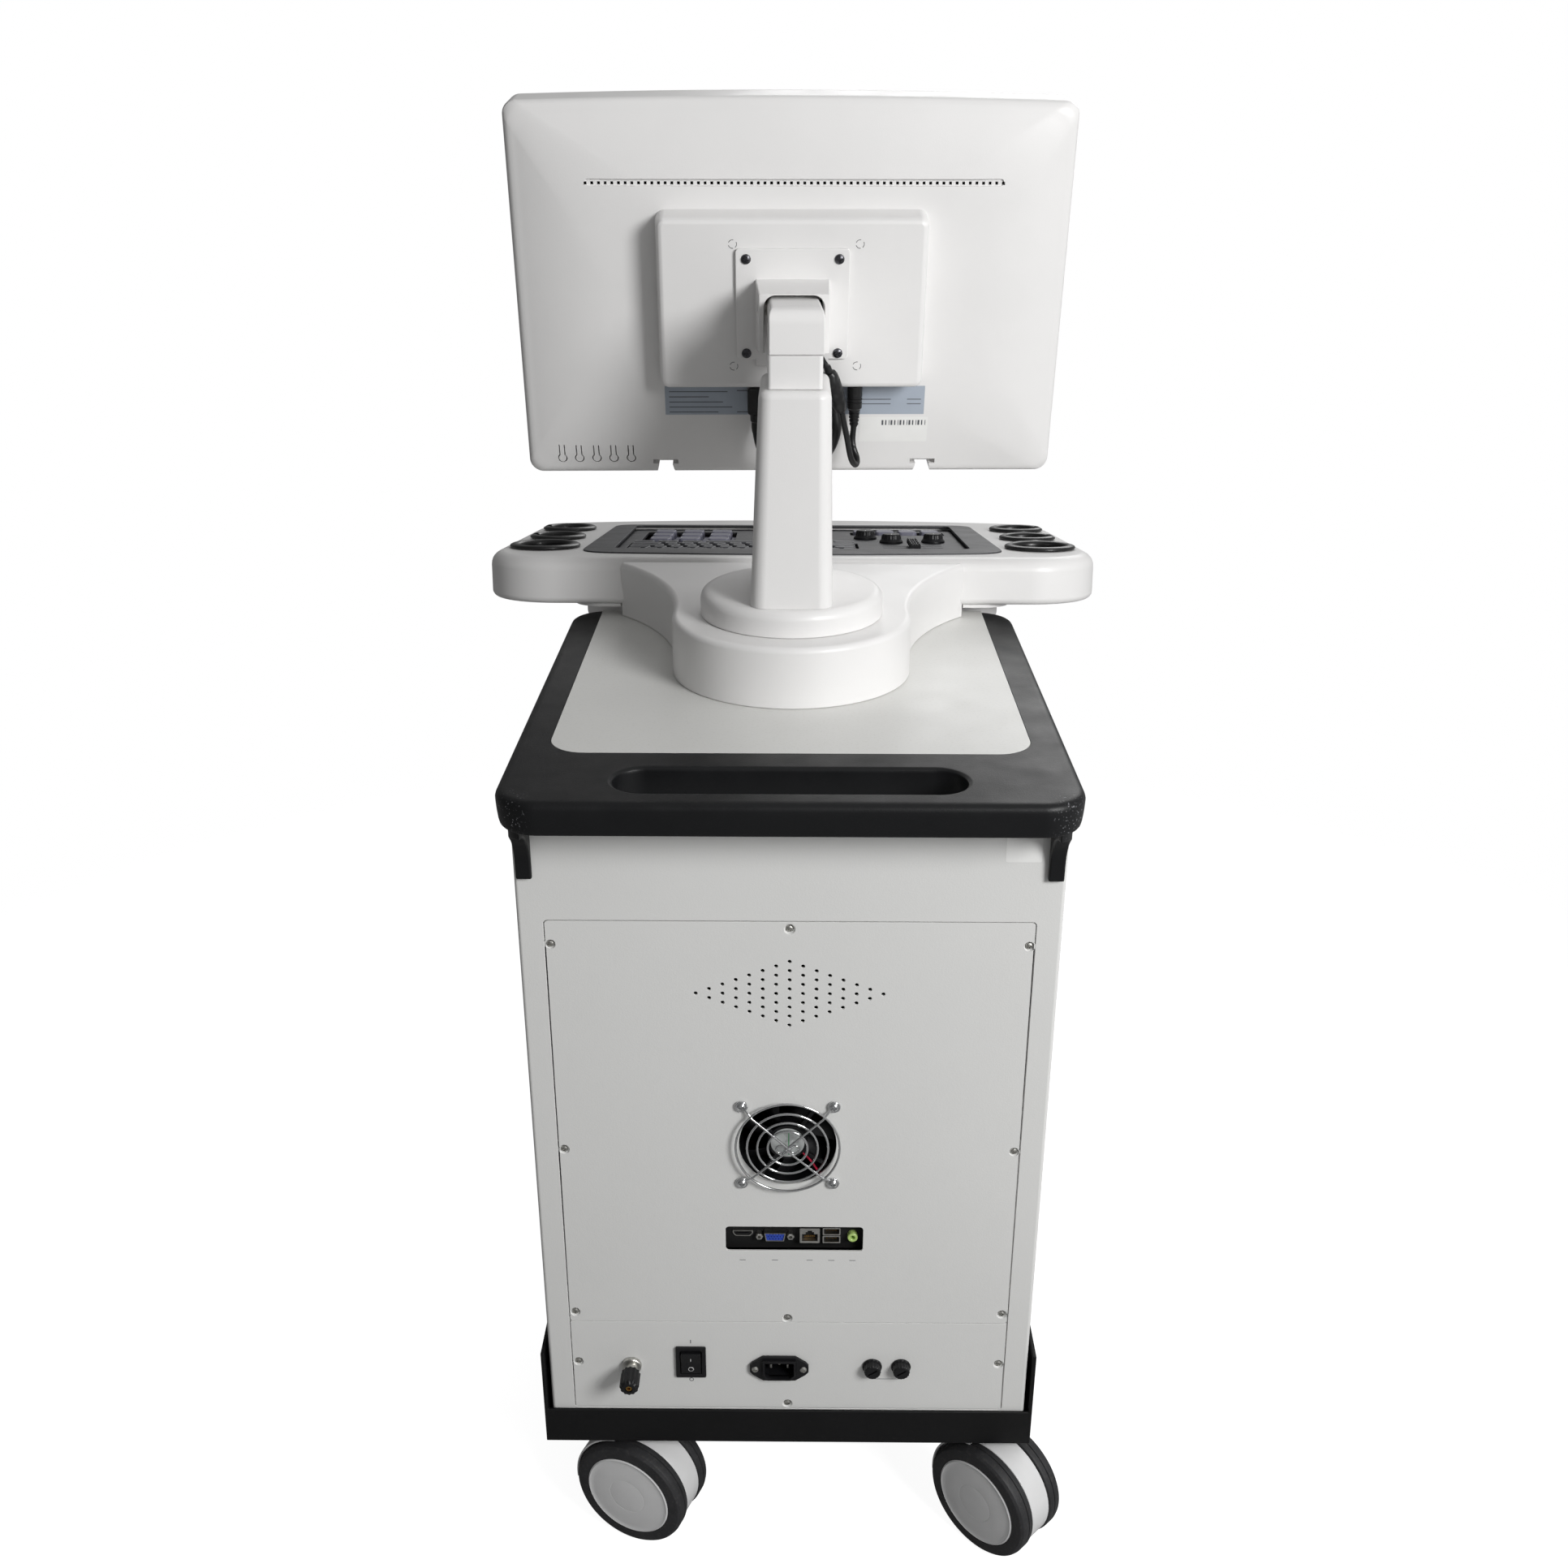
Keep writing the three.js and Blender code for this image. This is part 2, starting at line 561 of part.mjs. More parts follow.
// The bottom cover fits inside the upper shell's wall, with a lip and a shallow pan below it.
function addLowerShell(group) {
  const bottom = -CONSOLE.thickness;
  const cover = upright(consoleOutline(CONSOLE.wall + GAP), bottom, bottom + 2.5, 0, 3);
  const lip = upright(roundedRectangle(-204, 204, -338, -6, 30), bottom - 3.3, bottom - GAP, 0, 3);
  const shelf = block(-200, 200, -322, -22, bottom - 1, bottom + 1);
  const pan = upright(roundedRectangle(-200, 200, -322, -52, 30), bottom - 24, bottom - 1, 7, 3, 1);
  const hollow = block(-190, 190, -312, -62, bottom - 20, bottom + 5);
  const neckNotch = block(-159, 159, -20, 5, bottom - 10, bottom + 5);
  const holes = holderHoles(bottom);
  const body = cut(join(cover, shelf, lip, pan), hollow, neckNotch, ...holes);
  piece(group, "console_lower_shell", body, OFF_WHITE);
}

// The dark frame round the keys. Its rear edge is bowed and it narrows to the front.
function bezelOutline(margin) {
  const rearHalf = 200 + margin;
  const frontHalf = 194 + margin;
  const rear = margin - 22;
  const front = -300 - margin;
  const corner = 22;
  const bow = 20;
  const shape = new THREE.Shape();
  shape.moveTo(-rearHalf, rear - bow - corner);
  shape.lineTo(-frontHalf, front + corner);
  shape.quadraticCurveTo(-frontHalf, front, corner - frontHalf, front);
  shape.lineTo(frontHalf - corner, front);
  shape.quadraticCurveTo(frontHalf, front, frontHalf, front + corner);
  shape.lineTo(rearHalf, rear - bow - corner);
  shape.quadraticCurveTo(rearHalf, rear - bow + 4, rearHalf - corner - 6, rear - bow + 9);
  shape.quadraticCurveTo(80, rear, 0, rear);
  shape.quadraticCurveTo(-80, rear, 6 + corner - rearHalf, rear - bow + 9);
  shape.quadraticCurveTo(-rearHalf, rear - bow + 4, -rearHalf, rear - bow - corner);
  return shape;
}

function addKeyboard(group) {
  const windowShape = roundedRectangle(-171, 171, -290, -68, 8);
  const bezel = cut(upright(bezelOutline(0), -1.2, 1.3, 0, 4), upright(windowShape, -10, 10, 0, 3));
  piece(group, "keyboard_bezel", bezel, DARK_GREY);

  const deckTop = -CONSOLE.wall - GAP;
  const deckBottom = deckTop - 3;
  const keyTop = -0.6;
  const matTop = deckBottom - 2;
  const matBottom = matTop - 2.5;
  const deck = upright(roundedRectangle(-184, 184, -302, -50, 6), deckBottom, deckTop, 0, 2);
  const openings = [
    block(-66, 164, -160, -76, -20, 5),
    block(60, 156, -268, -168, -20, 5),
    block(-162, -62, -270, -240, -20, 5),
    block(-152, -88, -144, -84, -20, 5),
    rod(TRACKBALL.radius + 0.9, 40, "z", 0, TRACKBALL.y, 0, 24),
  ];
  piece(group, "control_deck", cut(deck, ...openings), DARK_GREY);

  const rows = [0, 1, 2, 3, 4].map((row) => {
    const y = -158 + 16 * row;
    return block(-64, 162, y, y + 13.5, matTop - 1, keyTop);
  });
  const alphaMat = block(-64, 162, -158, -80, matBottom, matTop);
  piece(group, "alpha_keys", join(alphaMat, ...rows), DARK_GREY);

  const keys = [];
  for (const x of [76, 106, 136]) {
    for (const y of [-253, -218, -183]) {
      keys.push(block(x - 12, x + 12, y - 13, y + 13, matTop - 1, keyTop));
    }
  }
  for (const x of [-75, -99, -123, -147]) {
    keys.push(block(x - 10, x + 10, -267, -243, matTop - 1, keyTop));
  }
  const rightMat = block(62, 152, -267, -170, matBottom, matTop);
  const strip = block(-160, 64, -267, -250, matBottom, matTop);
  piece(group, "function_keys", join(rightMat, strip, ...keys), LILAC_GREY);
}

const TRACKBALL = { radius: 19, y: -222, height: -8 };
const KNOBS = [
  { x: -76, y: -205 },
  { x: -101, y: -168 },
  { x: -144, y: -172 },
];
const SLIDERS = { x: -120, firstY: -136, pitch: 14.5, count: 4 };

function addControls(group) {
  const ball = new THREE.SphereGeometry(TRACKBALL.radius, 14, 8);
  ball.rotateX(Math.PI / 2).translate(0, TRACKBALL.y, TRACKBALL.height);
  piece(group, "trackball", solid(ball), BLACK_RUBBER);

  const deckTop = -CONSOLE.wall - GAP;
  KNOBS.forEach(({ x, y }, index) => {
    const foot = deckTop + GAP;
    const profile = [[0, foot], [12, foot], [12, foot + 2.5], [10, foot + 4.5], [9.2, foot + 8]];
    profile.push([8, foot + 9], [0, foot + 9]);
    piece(group, "knob_" + (index + 1), turned(profile, "z", x, y, 0, 12), BLACK_PLASTIC);
  });

  for (let i = 0; i < SLIDERS.count; i++) {
    const y = SLIDERS.firstY + SLIDERS.pitch * i;
    const stem = block(SLIDERS.x - 2, SLIDERS.x + 2, y - 1, y + 1, -14, 0);
    const cap = block(SLIDERS.x - 5, SLIDERS.x + 5, y - 5, y + 5, -1, 4);
    piece(group, "tgc_slider_" + (i + 1), join(stem, cap), BLACK_PLASTIC);
  }
}

// Soft cups with a rounded lip: a closed one for gel, and open slotted ones that let a probe's
// cable out.
function addHolders(group) {
  for (const [sideName, side] of [["left", -1], ["right", 1]]) {
    for (const holder of HOLDERS) {
      const { lip, bore, y, slot } = holder;
      const tube = bore + HOLDER_WALL;
      const x = side * HOLDER_X;
      const outside = [[tube, -HOLDER_DEPTH], [tube, GAP], [lip - 1, GAP], [lip, 2], [lip - 2, 4]];
      const inside = [[bore + 3, 4.5], [bore, 1]];
      const open = [[bore, -HOLDER_DEPTH], ...outside, ...inside, [bore, -HOLDER_DEPTH]];
      const floor = HOLDER_FLOOR - HOLDER_DEPTH;
      const closed = [[0, -HOLDER_DEPTH], ...outside, ...inside, [bore, floor], [0, floor]];
      let cup = turned(slot > 0 ? open : closed, "z", x, y, 0, 16);
      const notchEnd = x + side * (lip + 5);
      if (slot > 0) {
        const notch = block(
          Math.min(x, notchEnd), Math.max(x, notchEnd), y - slot / 2, y + slot / 2, -60, 20,
        );
        cup = cup.subtract(notch);
      }
      piece(group, "holder_" + holder.name + "_" + sideName, cup, BLACK_RUBBER);
    }
  }
}

// ---------- Column ----------
function addColumn(group) {
  const disc = COLUMN_DISC;
  const discProfile = [
    [0, disc.bottom], [disc.radius, disc.bottom], [disc.radius, disc.top - disc.edge],
    [disc.radius - 1.6, disc.top - 3.6], [disc.radius - 4.6, disc.top - 1], [disc.radius - 9, disc.top],
    [0, disc.top],
  ];
  piece(group, "column_base", turned(discProfile, "z", 0, disc.y, 0, 24), OFF_WHITE);

  const { y, base, top, width, depth, topScale, radius } = COLUMN;
  const section = roundedRectangle(-width / 2, width / 2, -depth / 2, depth / 2, radius);
  const edge = 6;
  const tall = extrusion(section, top - base + edge, edge, 3, 2).translate(0, 0, -edge);
  const points = tall.attributes.position;
  for (let i = 0; i < points.count; i++) {
    const share = Math.max(0, points.getZ(i)) / (top - base);
    const scale = 1 + (topScale - 1) * share;
    const x = points.getX(i) * scale + COLUMN_LEAN * share;
    points.setXYZ(i, x, points.getY(i) * scale, points.getZ(i));
  }
  const foot = block(-60, 60, -90, 90, -30, 0);
  const shaft = cut(solid(tall), foot);
  piece(group, "column", solid(geometryOf(shaft).translate(0, y, base)), OFF_WHITE);

  const { halfWidth, rear, front, bottom } = POST;
  const postShape = roundedRectangle(COLUMN_LEAN - halfWidth, COLUMN_LEAN + halfWidth, front, rear, 3);
  piece(group, "post", upright(postShape, bottom, POST.top, 0, 2), OFF_WHITE);
}

// The swivelling head on the post. Its round nose carries the tilt axle.
function addHead(group) {
  const axle = tiltAxleInHead();
  const nose = TILT_AXLE.noseRadius;
  const { top } = HEAD_HEIGHTS;
  const shape = new THREE.Shape();
  shape.moveTo(POST.front, HEAD_HEIGHTS.bottom);
  shape.lineTo(POST.rear, HEAD_HEIGHTS.bottom);
  shape.lineTo(POST.rear, top - 12);
  shape.quadraticCurveTo(POST.rear, top, POST.rear - 12, top);
  shape.lineTo(POST.front, top);
  shape.lineTo(axle.y, axle.z + nose);
  shape.absarc(axle.y, axle.z, nose, Math.PI / 2, 1.5 * Math.PI, false);
  shape.lineTo(axle.y + 10, axle.z - nose);
  const body = sideways(shape, -21, 21, 0, 8);
  const frontOutline = roundedRectangle(-21, 21, HEAD_HEIGHTS.bottom - 30, axle.z + nose + GAP, 10);
  const upperCorners = facing(frontOutline, -330, -150, 0, 4);
  const bore = rod(TILT_AXLE.bore, 80, "x", 0, axle.y, axle.z, 20);
  piece(group, "monitor_head", cut(body.intersect(upperCorners), bore), OFF_WHITE);
}

// The tilt axle's place in the head's frame, before the head's small rest yaw.
function tiltAxleInHead() {
  const tilt = degrees(MONITOR.tilt);
  return {
    y: MONITOR.y + TILT_AXLE.y * Math.cos(tilt) - TILT_AXLE.z * Math.sin(tilt),
    z: MONITOR.z + TILT_AXLE.y * Math.sin(tilt) + TILT_AXLE.z * Math.cos(tilt),
  };
}

// ---------- Monitor ----------
// The monitor's frame has its origin in the middle of the mounting face, with Y to the rear.
function addTiltYoke(group) {
  const plate = VESA_PLATE.size / 2;
  const plateRear = GAP + VESA_PLATE.thickness;
  const flat = facing(roundedRectangle(-plate, plate, -plate, plate, 2), GAP, plateRear, 0, 2);
  const hoodOutline = roundedRectangle(-HOOD.halfWidth, HOOD.halfWidth, HOOD.bottom - 20, HOOD.top, 3);
  const hood = facing(hoodOutline, plateRear - 1, HOOD.depth, 0, 4);
  const innerHalf = HOOD.halfWidth - HOOD.cheek;
  const roof = HOOD.top - HOOD.roof;
  const tunnelOutline = roundedRectangle(-innerHalf, innerHalf, HOOD.bottom - 60, roof, 8);
  const tunnel = facing(tunnelOutline, plateRear, HOOD.depth + 5, 0, 4);
  const underside = sideways(
    polygon([[-5, -34], [plateRear, -34], [HOOD.depth + 5, -23], [HOOD.depth + 5, -90], [-5, -90]]),
    -60, 60,
  );
  const axleHole = rod(TILT_AXLE.bore, 100, "x", 0, TILT_AXLE.y, TILT_AXLE.z, 20);
  const scoop = cut(hood, tunnel, underside.intersect(block(-60, 60, plateRear, 90, -100, 0)), axleHole);
  piece(group, "tilt_yoke", join(flat, scoop), OFF_WHITE);

  const axle = rod(TILT_AXLE.radius, 2 * HOOD.halfWidth - 2, "x", 0, TILT_AXLE.y, TILT_AXLE.z, 20);
  piece(group, "tilt_axle", axle, ZINC);
}

// The cover's back: it rises from the rim to a flat middle in one shallow curve.
function crownedBack(half, bottom, top) {
  const rise = 17;
  const spread = 60;
  const cornerRadius = 62;
  const geometry = new THREE.ExtrudeGeometry(roundedRectangle(-half, half, bottom, top, cornerRadius), {
    depth: 6,
    bevelThickness: rise,
    bevelSize: spread,
    bevelOffset: -spread,
    bevelSegments: 3,
    curveSegments: 4,
  });
  return solid(geometry.rotateX(Math.PI / 2).translate(0, MONITOR_DEPTHS.backFlat - rise, 0));
}

function addMonitorCovers(group) {
  const half = MONITOR.width / 2;
  const { bottom, top } = MONITOR;
  const { frontFace, rim } = MONITOR_DEPTHS;
  const split = frontFace + 5;
  const wall = 6;
  const slab = facing(roundedRectangle(-half, half, bottom, top, 11), split - 8, rim, 6, 3, 2);
  const crown = crownedBack(half - 4, bottom + 4, top - 4);
  const bulgeShape = roundedRectangle(-BULGE.width / 2, BULGE.width / 2, BULGE.bottom, BULGE.top, 8);
  const bulge = facing(bulgeShape, -BULGE.depth - 14, 0, 6, 2, 2);
  const inFront = block(-300, 300, split - 40, split + GAP, -200, 200);
  const hollowShape = roundedRectangle(wall - half, half - wall, bottom + wall, top - wall, 8);
  const hollow = facing(hollowShape, split - 20, rim - wall, 0, 2);
  const deepHollow = block(-170, 170, rim - 20, -34, -100, 95);
  const inside = join(hollow, deepHollow);
  piece(group, "monitor_back_cover", cut(join(slab, crown, bulge), inFront, inside), OFF_WHITE);

  const bezel = facing(roundedRectangle(-half, half, bottom, top, 11), frontFace, split, 0, 3);
  const windowHalf = MONITOR_WINDOW.width / 2;
  const windowBottom = -MONITOR_WINDOW.height / 2;
  const window = block(-windowHalf, windowHalf, frontFace - 5, split + 5, windowBottom, -windowBottom);
  piece(group, "monitor_front_bezel", cut(bezel, window), OFF_WHITE);

  const border = 8;
  const panelHalf = windowHalf + border;
  const panelBottom = windowBottom - border;
  const panel = block(-panelHalf, panelHalf, split + 1, split + 13, panelBottom, -panelBottom);
  piece(group, "lcd_panel", panel, SCREEN);
}

// Both leads hang behind the monitor: each point is in the monitor's frame.
function addLeads(group) {
  const plug = join(
    rod(6.5, 20, "z", -54, -16, BULGE.bottom - GAP - 10, 12),
    rod(4.8, 16, "z", -54, -16, BULGE.bottom - GAP - 27, 12),
  );
  const lead = cable(
    [[-54, -16, -105], [-53, -14, -120], [-57, -6, -134], [-52, 0, -122], [-41, 6, -86],
      [-35, 9, -60], [-25, 12, -44], [-15, 14, -27], [-12, 13, -8]],
    2.6, 20, 6,
  );
  const sleeve = cable([[-42, 5.5, -82], [-38, 7.5, -70], [-34, 9.5, -56], [-30, 11, -46]], 7, 3, 6);
  piece(group, "power_cable", join(plug, lead, sleeve), BLACK_RUBBER);

  const connector = block(26, 44, -23, -9, BULGE.bottom - 24, BULGE.bottom - GAP);
  const droop = cable(
    [[35, -16, -90], [34, -15, -110], [27, -12, -128], [0, -10, -136], [-27, -10, -130],
      [-37, -10, -112], [-37, -13, -90], [-37, -16, -72]],
    5, 18, 6,
  );
  piece(group, "video_cable", join(connector, droop), BLACK_RUBBER);
}

// ---------- Casters ----------
function casterPivots() {
  const { x, rearY, frontY } = CASTER_PIVOT;
  return [
    { name: "rear_right", x, y: rearY, heading: 157 },
    { name: "rear_left", x: -x, y: rearY, heading: 135 },
    { name: "front_right", x, y: frontY, heading: 150 },
    { name: "front_left", x: -x, y: frontY, heading: 128 },
  ];
}

// A caster in its own frame: pivot on the Z axis, floor at z = 0, wheels trailing towards +X.
function addCaster(group, name) {
  const { wheelRadius, hubRadius, halfWidth, innerFace, trail, axle, floorGap } = CASTER;
  const bodyHalf = innerFace - 0.6;
  const lipHalf = 21;
  const lipInner = wheelRadius + 1.5;
  const lipOuter = wheelRadius + 3.3;
  const stemTop = PANEL_ABOVE_FLOOR + TRAY.bottom - 4 - GAP;

  const centre = rod(wheelRadius - floorGap, 2 * bodyHalf, "y", trail, 0, wheelRadius, 24);
  const ring = cut(
    rod(lipOuter, 2 * lipHalf, "y", trail, 0, wheelRadius, 24),
    rod(lipInner, 2 * lipHalf + 5, "y", trail, 0, wheelRadius, 24),
  );
  const quarter = block(trail - 70, trail, -60, 60, wheelRadius - 4, wheelRadius + 70);
  const lip = ring.intersect(quarter);
  const web = rod(lipInner + 0.5, 2 * bodyHalf, "y", trail, 0, wheelRadius, 24).intersect(quarter);
  const stem = rod(bodyHalf, stemTop - wheelRadius, "z", 0, 0, (stemTop + wheelRadius) / 2, 16);
  const bore = rod(axle + 0.6, 60, "y", trail, 0, wheelRadius, 16);
  piece(group, "caster_hood_" + name, cut(join(centre, lip, web, stem), bore), CASTER_GREY);

  const outerHalf = [
    [axle, innerFace], [wheelRadius - 2, innerFace], [wheelRadius, innerFace + 3],
    [wheelRadius, halfWidth - 6], [hubRadius + 5, halfWidth - 2],
    [hubRadius * 0.6, halfWidth], [0, halfWidth],
  ];
  const innerHalf = outerHalf.map(([radius, y]) => [radius, -y]).reverse();
  const wheels = turned([...innerHalf, ...outerHalf], "y", trail, 0, wheelRadius, 20);
  piece(group, "caster_wheels_" + name, wheels, TYRE_RUBBER);
}

// ---------- Assembly ----------
function buildCabinet() {
  const group = new THREE.Group();
  addBaseTray(group);
  addCabinetShell(group);
  addRearPanel(group);
  addPowerPanel(group);
  addFrontPanel(group);
  addTopFrame(group);
  addTopPlate(group);
  addHandleBrackets(group);
  addConnectorModule(group);
  addFan(group);
  addFanGuard(group);
  addPowerSwitch(group);
  addMainsInlet(group);
  addFuseHolder(group, "fuse_holder_right", FUSES.x[0]);
  addFuseHolder(group, "fuse_holder_left", FUSES.x[1]);
  addGroundTerminal(group);
  addElectronics(group);
  addColumn(group);
  return group;
}

function buildConsole() {
  const group = new THREE.Group();
  group.applyMatrix4(consolePlace());
  addLowerShell(group);
  addKeyboard(group);
  addControls(group);
  addHolders(group);
  return group;
}

// The head and monitor, turned together about the post by the rest yaw.
function buildHead() {
  const swivel = new THREE.Group();
  swivel.position.set(COLUMN_LEAN, SWIVEL_Y, 0);
  swivel.rotation.z = degrees(MONITOR.yaw);
  const unturned = new THREE.Group();
  unturned.position.set(0, -SWIVEL_Y, 0);
  swivel.add(unturned);
  addHead(unturned);

  const monitor = new THREE.Group();
  monitor.position.set(0, MONITOR.y, MONITOR.z);
  monitor.rotation.x = degrees(MONITOR.tilt);
  unturned.add(monitor);
  addTiltYoke(monitor);
  addMonitorCovers(monitor);
  addLeads(monitor);
  return swivel;
}

function buildCasters() {
  const all = new THREE.Group();
  for (const { name, x, y, heading } of casterPivots()) {
    const caster = new THREE.Group();
    caster.position.set(x, y, -PANEL_ABOVE_FLOOR);
    caster.rotation.z = degrees(heading);
    addCaster(caster, name);
    all.add(caster);
  }
  return all;
}

const machine = new THREE.Group();
machine.position.set(0, REAR_PANEL_Y, PANEL_ABOVE_FLOOR);
machine.add(buildCabinet(), buildConsole(), buildHead(), buildCasters());
addUpperShell(machine);

const scanner = new THREE.Group();
scanner.name = "ultrasound_scanner";
scanner.add(machine);

export default scanner;
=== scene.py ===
import json
import math

import bmesh
import bpy
from mathutils import Matrix, Vector


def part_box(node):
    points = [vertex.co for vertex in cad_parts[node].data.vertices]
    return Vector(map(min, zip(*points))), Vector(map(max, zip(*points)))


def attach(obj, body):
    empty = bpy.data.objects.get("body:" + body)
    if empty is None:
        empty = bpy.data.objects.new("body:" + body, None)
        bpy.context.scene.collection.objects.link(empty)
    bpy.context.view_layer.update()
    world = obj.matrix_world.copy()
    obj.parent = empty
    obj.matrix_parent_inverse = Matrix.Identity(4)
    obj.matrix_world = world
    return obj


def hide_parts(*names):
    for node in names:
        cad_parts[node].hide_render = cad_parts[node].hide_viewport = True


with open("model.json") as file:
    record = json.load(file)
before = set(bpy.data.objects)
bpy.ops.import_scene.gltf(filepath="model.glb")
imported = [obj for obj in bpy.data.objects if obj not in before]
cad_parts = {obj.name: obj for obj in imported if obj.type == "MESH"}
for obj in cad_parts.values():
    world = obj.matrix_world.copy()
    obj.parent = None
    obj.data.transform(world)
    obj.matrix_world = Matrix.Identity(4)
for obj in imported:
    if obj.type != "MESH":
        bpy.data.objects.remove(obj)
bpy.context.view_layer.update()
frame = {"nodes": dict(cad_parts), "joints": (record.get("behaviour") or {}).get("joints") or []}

# Shapes are drawn in millimetres in a sub-assembly's own frame, and a place matrix carries them
# to the row's frame in metres. Y is the rear, where the service panel is, and +X the user's right.
MM = 0.001
GAP = 0.3
BODY = "cart"

CABINET_HALF = 199.5
CABINET_DEPTH = 404.5
CABINET_BOTTOM = -31
CABINET_TOP = 553.7
PANEL_HALF = 179.6
PANEL_TOP = 464.3
PANEL_SEAM = 92.5
PANEL_SHEET = 1.8
TRAY_HALF = 206
TRAY_SKIRT_TOP = 60
SLAB_HALF = 204
SLAB_BOTTOM = 554
SLAB_TOP = 579
SLAB_REAR = 49
SLAB_FRONT = -408
CONSOLE_REAR = -390
CONSOLE_HEIGHT = 634
CONSOLE_THICKNESS = 43
DECK_TOP = -3.8
KEY_TOP = -0.6
NECK_SEAT = 579.3
NECK_TOP = 629
COLUMN_Y = -232.5
COLUMN_BASE = 650.3
COLUMN_TOP = 816
DISC_Y = -235
COLUMN_LEAN = -2.3
HEAD_BOTTOM = 841.3
HEAD_TOP = 875.2
SWIVEL_Y = -226
MONITOR_TILT = -7.7
AXLE_Y = 30
AXLE_Z = 6
MONITOR_HALF = 229.7
MONITOR_BOTTOM = -155
MONITOR_TOP = 150
MONITOR_FRONT = -84
BACK_FLAT = -28
BULGE_HALF = 111
BULGE_TOP = 70
HOOD_DEPTH = 54
FAN_X = 1
FAN_Z = 269
FAN_SCREW = 35.75
WHEEL_RADIUS = 51
HUB_RADIUS = 39
WHEEL_TRAIL = 32.5
WHEEL_INNER = 12
CASTERS = ("rear_right", "rear_left", "front_right", "front_left")
HOLDERS = (("rear", 34, 25, -85, 0), ("middle", 28.5, 20, -170, 11), ("front", 28.5, 20, -256, 11))
HOLDER_X = 240

# ---------- Places ----------
JOINTS = {joint["name"]: joint for joint in frame["joints"]}


def joint_point(name):
    return Vector(JOINTS[name]["pos_m"])


def turn(degrees, axis):
    return Matrix.Rotation(math.radians(degrees), 4, axis)


def shift(x, y, z):
    return Matrix.Translation((x, y, z))


def cart_place():
    low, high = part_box("power_panel")
    return shift(0, high.y, low.z - GAP * MM) @ Matrix.Scale(MM, 4)


def console_place():
    normal = Vector(JOINTS["knob_1_turn"]["axis"])
    slope = math.degrees(math.atan2(-normal.y, normal.z))
    return CART @ shift(0, CONSOLE_REAR, CONSOLE_HEIGHT) @ turn(slope, "X")


def rest_yaw():
    axis = Vector(JOINTS["monitor_tilt"]["axis"])
    return math.degrees(math.atan2(axis.y, axis.x))


def head_place():
    pivot = CART.inverted() @ joint_point("monitor_swivel")
    return CART @ shift(pivot.x, pivot.y, 0) @ turn(rest_yaw(), "Z") @ shift(0, -SWIVEL_Y, 0)


def monitor_place():
    pivot = Matrix.Translation(joint_point("monitor_tilt"))
    turned_frame = turn(rest_yaw(), "Z") @ turn(MONITOR_TILT, "X") @ Matrix.Scale(MM, 4)
    return pivot @ turned_frame @ shift(0, -AXLE_Y, -AXLE_Z)


def caster_place(name):
    pivot = joint_point(f"caster_{name}_swivel")
    axle = joint_point(f"caster_{name}_roll")
    heading = math.degrees(math.atan2(axle.y - pivot.y, axle.x - pivot.x))
    return shift(pivot.x, pivot.y, 0) @ turn(heading, "Z") @ Matrix.Scale(MM, 4)


CART = cart_place()
CONSOLE = console_place()
HEAD = head_place()
MONITOR = monitor_place()

# ---------- Outlines ----------


def arc(cx, cy, radius, start, end, steps):
    points = []
    for i in range(steps + 1):
        angle = math.radians(start + (end - start) * i / steps)
        points.append((cx + radius * math.cos(angle), cy + radius * math.sin(angle)))
    return points


def ring_points(cx, cy, radius, steps=32):
    return arc(cx, cy, radius, 0, 360, steps)[:-1]


def bow(start, control, end, steps):
    """Points on a quadratic curve, without its start."""
    points = []
    for i in range(1, steps + 1):
        t = i / steps
        a, b, c = (1 - t) ** 2, 2 * t * (1 - t), t * t
        points.append(tuple(a * p + b * q + c * r for p, q, r in zip(start, control, end)))
    return points


def rounded_rectangle(x0, x1, y0, y1, radius, steps=6, side=1):
    corners = [
        (x1 - radius, y0 + radius, -90),
        (x1 - radius, y1 - radius, 0),
        (x0 + radius, y1 - radius, 90),
        (x0 + radius, y0 + radius, 180),
    ]
    points = []
    for cx, cy, start in corners:
        rounded = arc(cx, cy, radius, start, start + 90, steps)
        if points:
            points += between(points[-1], rounded[0], side)
        points += rounded
    return points + between(points[-1], points[0], side)


def between(start, end, pieces):
    """Evenly spaced points between two others."""
    return [
        tuple(a + (b - a) * i / pieces for a, b in zip(start, end)) for i in range(1, pieces)
    ]


def round_edge(low, high, bottom=0.0, top=0.0, steps=4):
    """(inset, height) pairs of a slab with rounded lower and upper edges."""
    levels = []
    for i in range(steps + 1 if bottom else 1):
        angle = math.pi / 2 * i / steps
        levels.append((bottom * (1 - math.sin(angle)), low + bottom * (1 - math.cos(angle))))
    for i in range(steps + 1 if top else 1):
        angle = math.pi / 2 * i / steps
        levels.append((top * (1 - math.cos(angle)), high - top * (1 - math.sin(angle))))
    return levels


# ---------- Mesh tools ----------


def outward(mesh):
    """Turns a closed mesh's faces to point out."""
    if mesh.calc_volume(signed=True) < 0:
        bmesh.ops.reverse_faces(mesh, faces=mesh.faces)
    return mesh


def loft(rings):
    """A skin through rings of points, closed by a flat face at each end."""
    mesh = bmesh.new()
    rows = [[mesh.verts.new(point) for point in ring] for ring in rings]
    count = len(rings[0])
    for lower, upper in zip(rows, rows[1:]):
        for i in range(count):
            j = (i + 1) % count
            mesh.faces.new((lower[i], lower[j], upper[j], upper[i]))
    mesh.faces.new(rows[0][::-1])
    mesh.faces.new(rows[-1])
    return outward(mesh)


def stack(outline, levels):
    """A body whose plan is outline(inset) at each (inset, height) level."""
    return loft([[(x, y, height) for x, y in outline(inset)] for inset, height in levels])


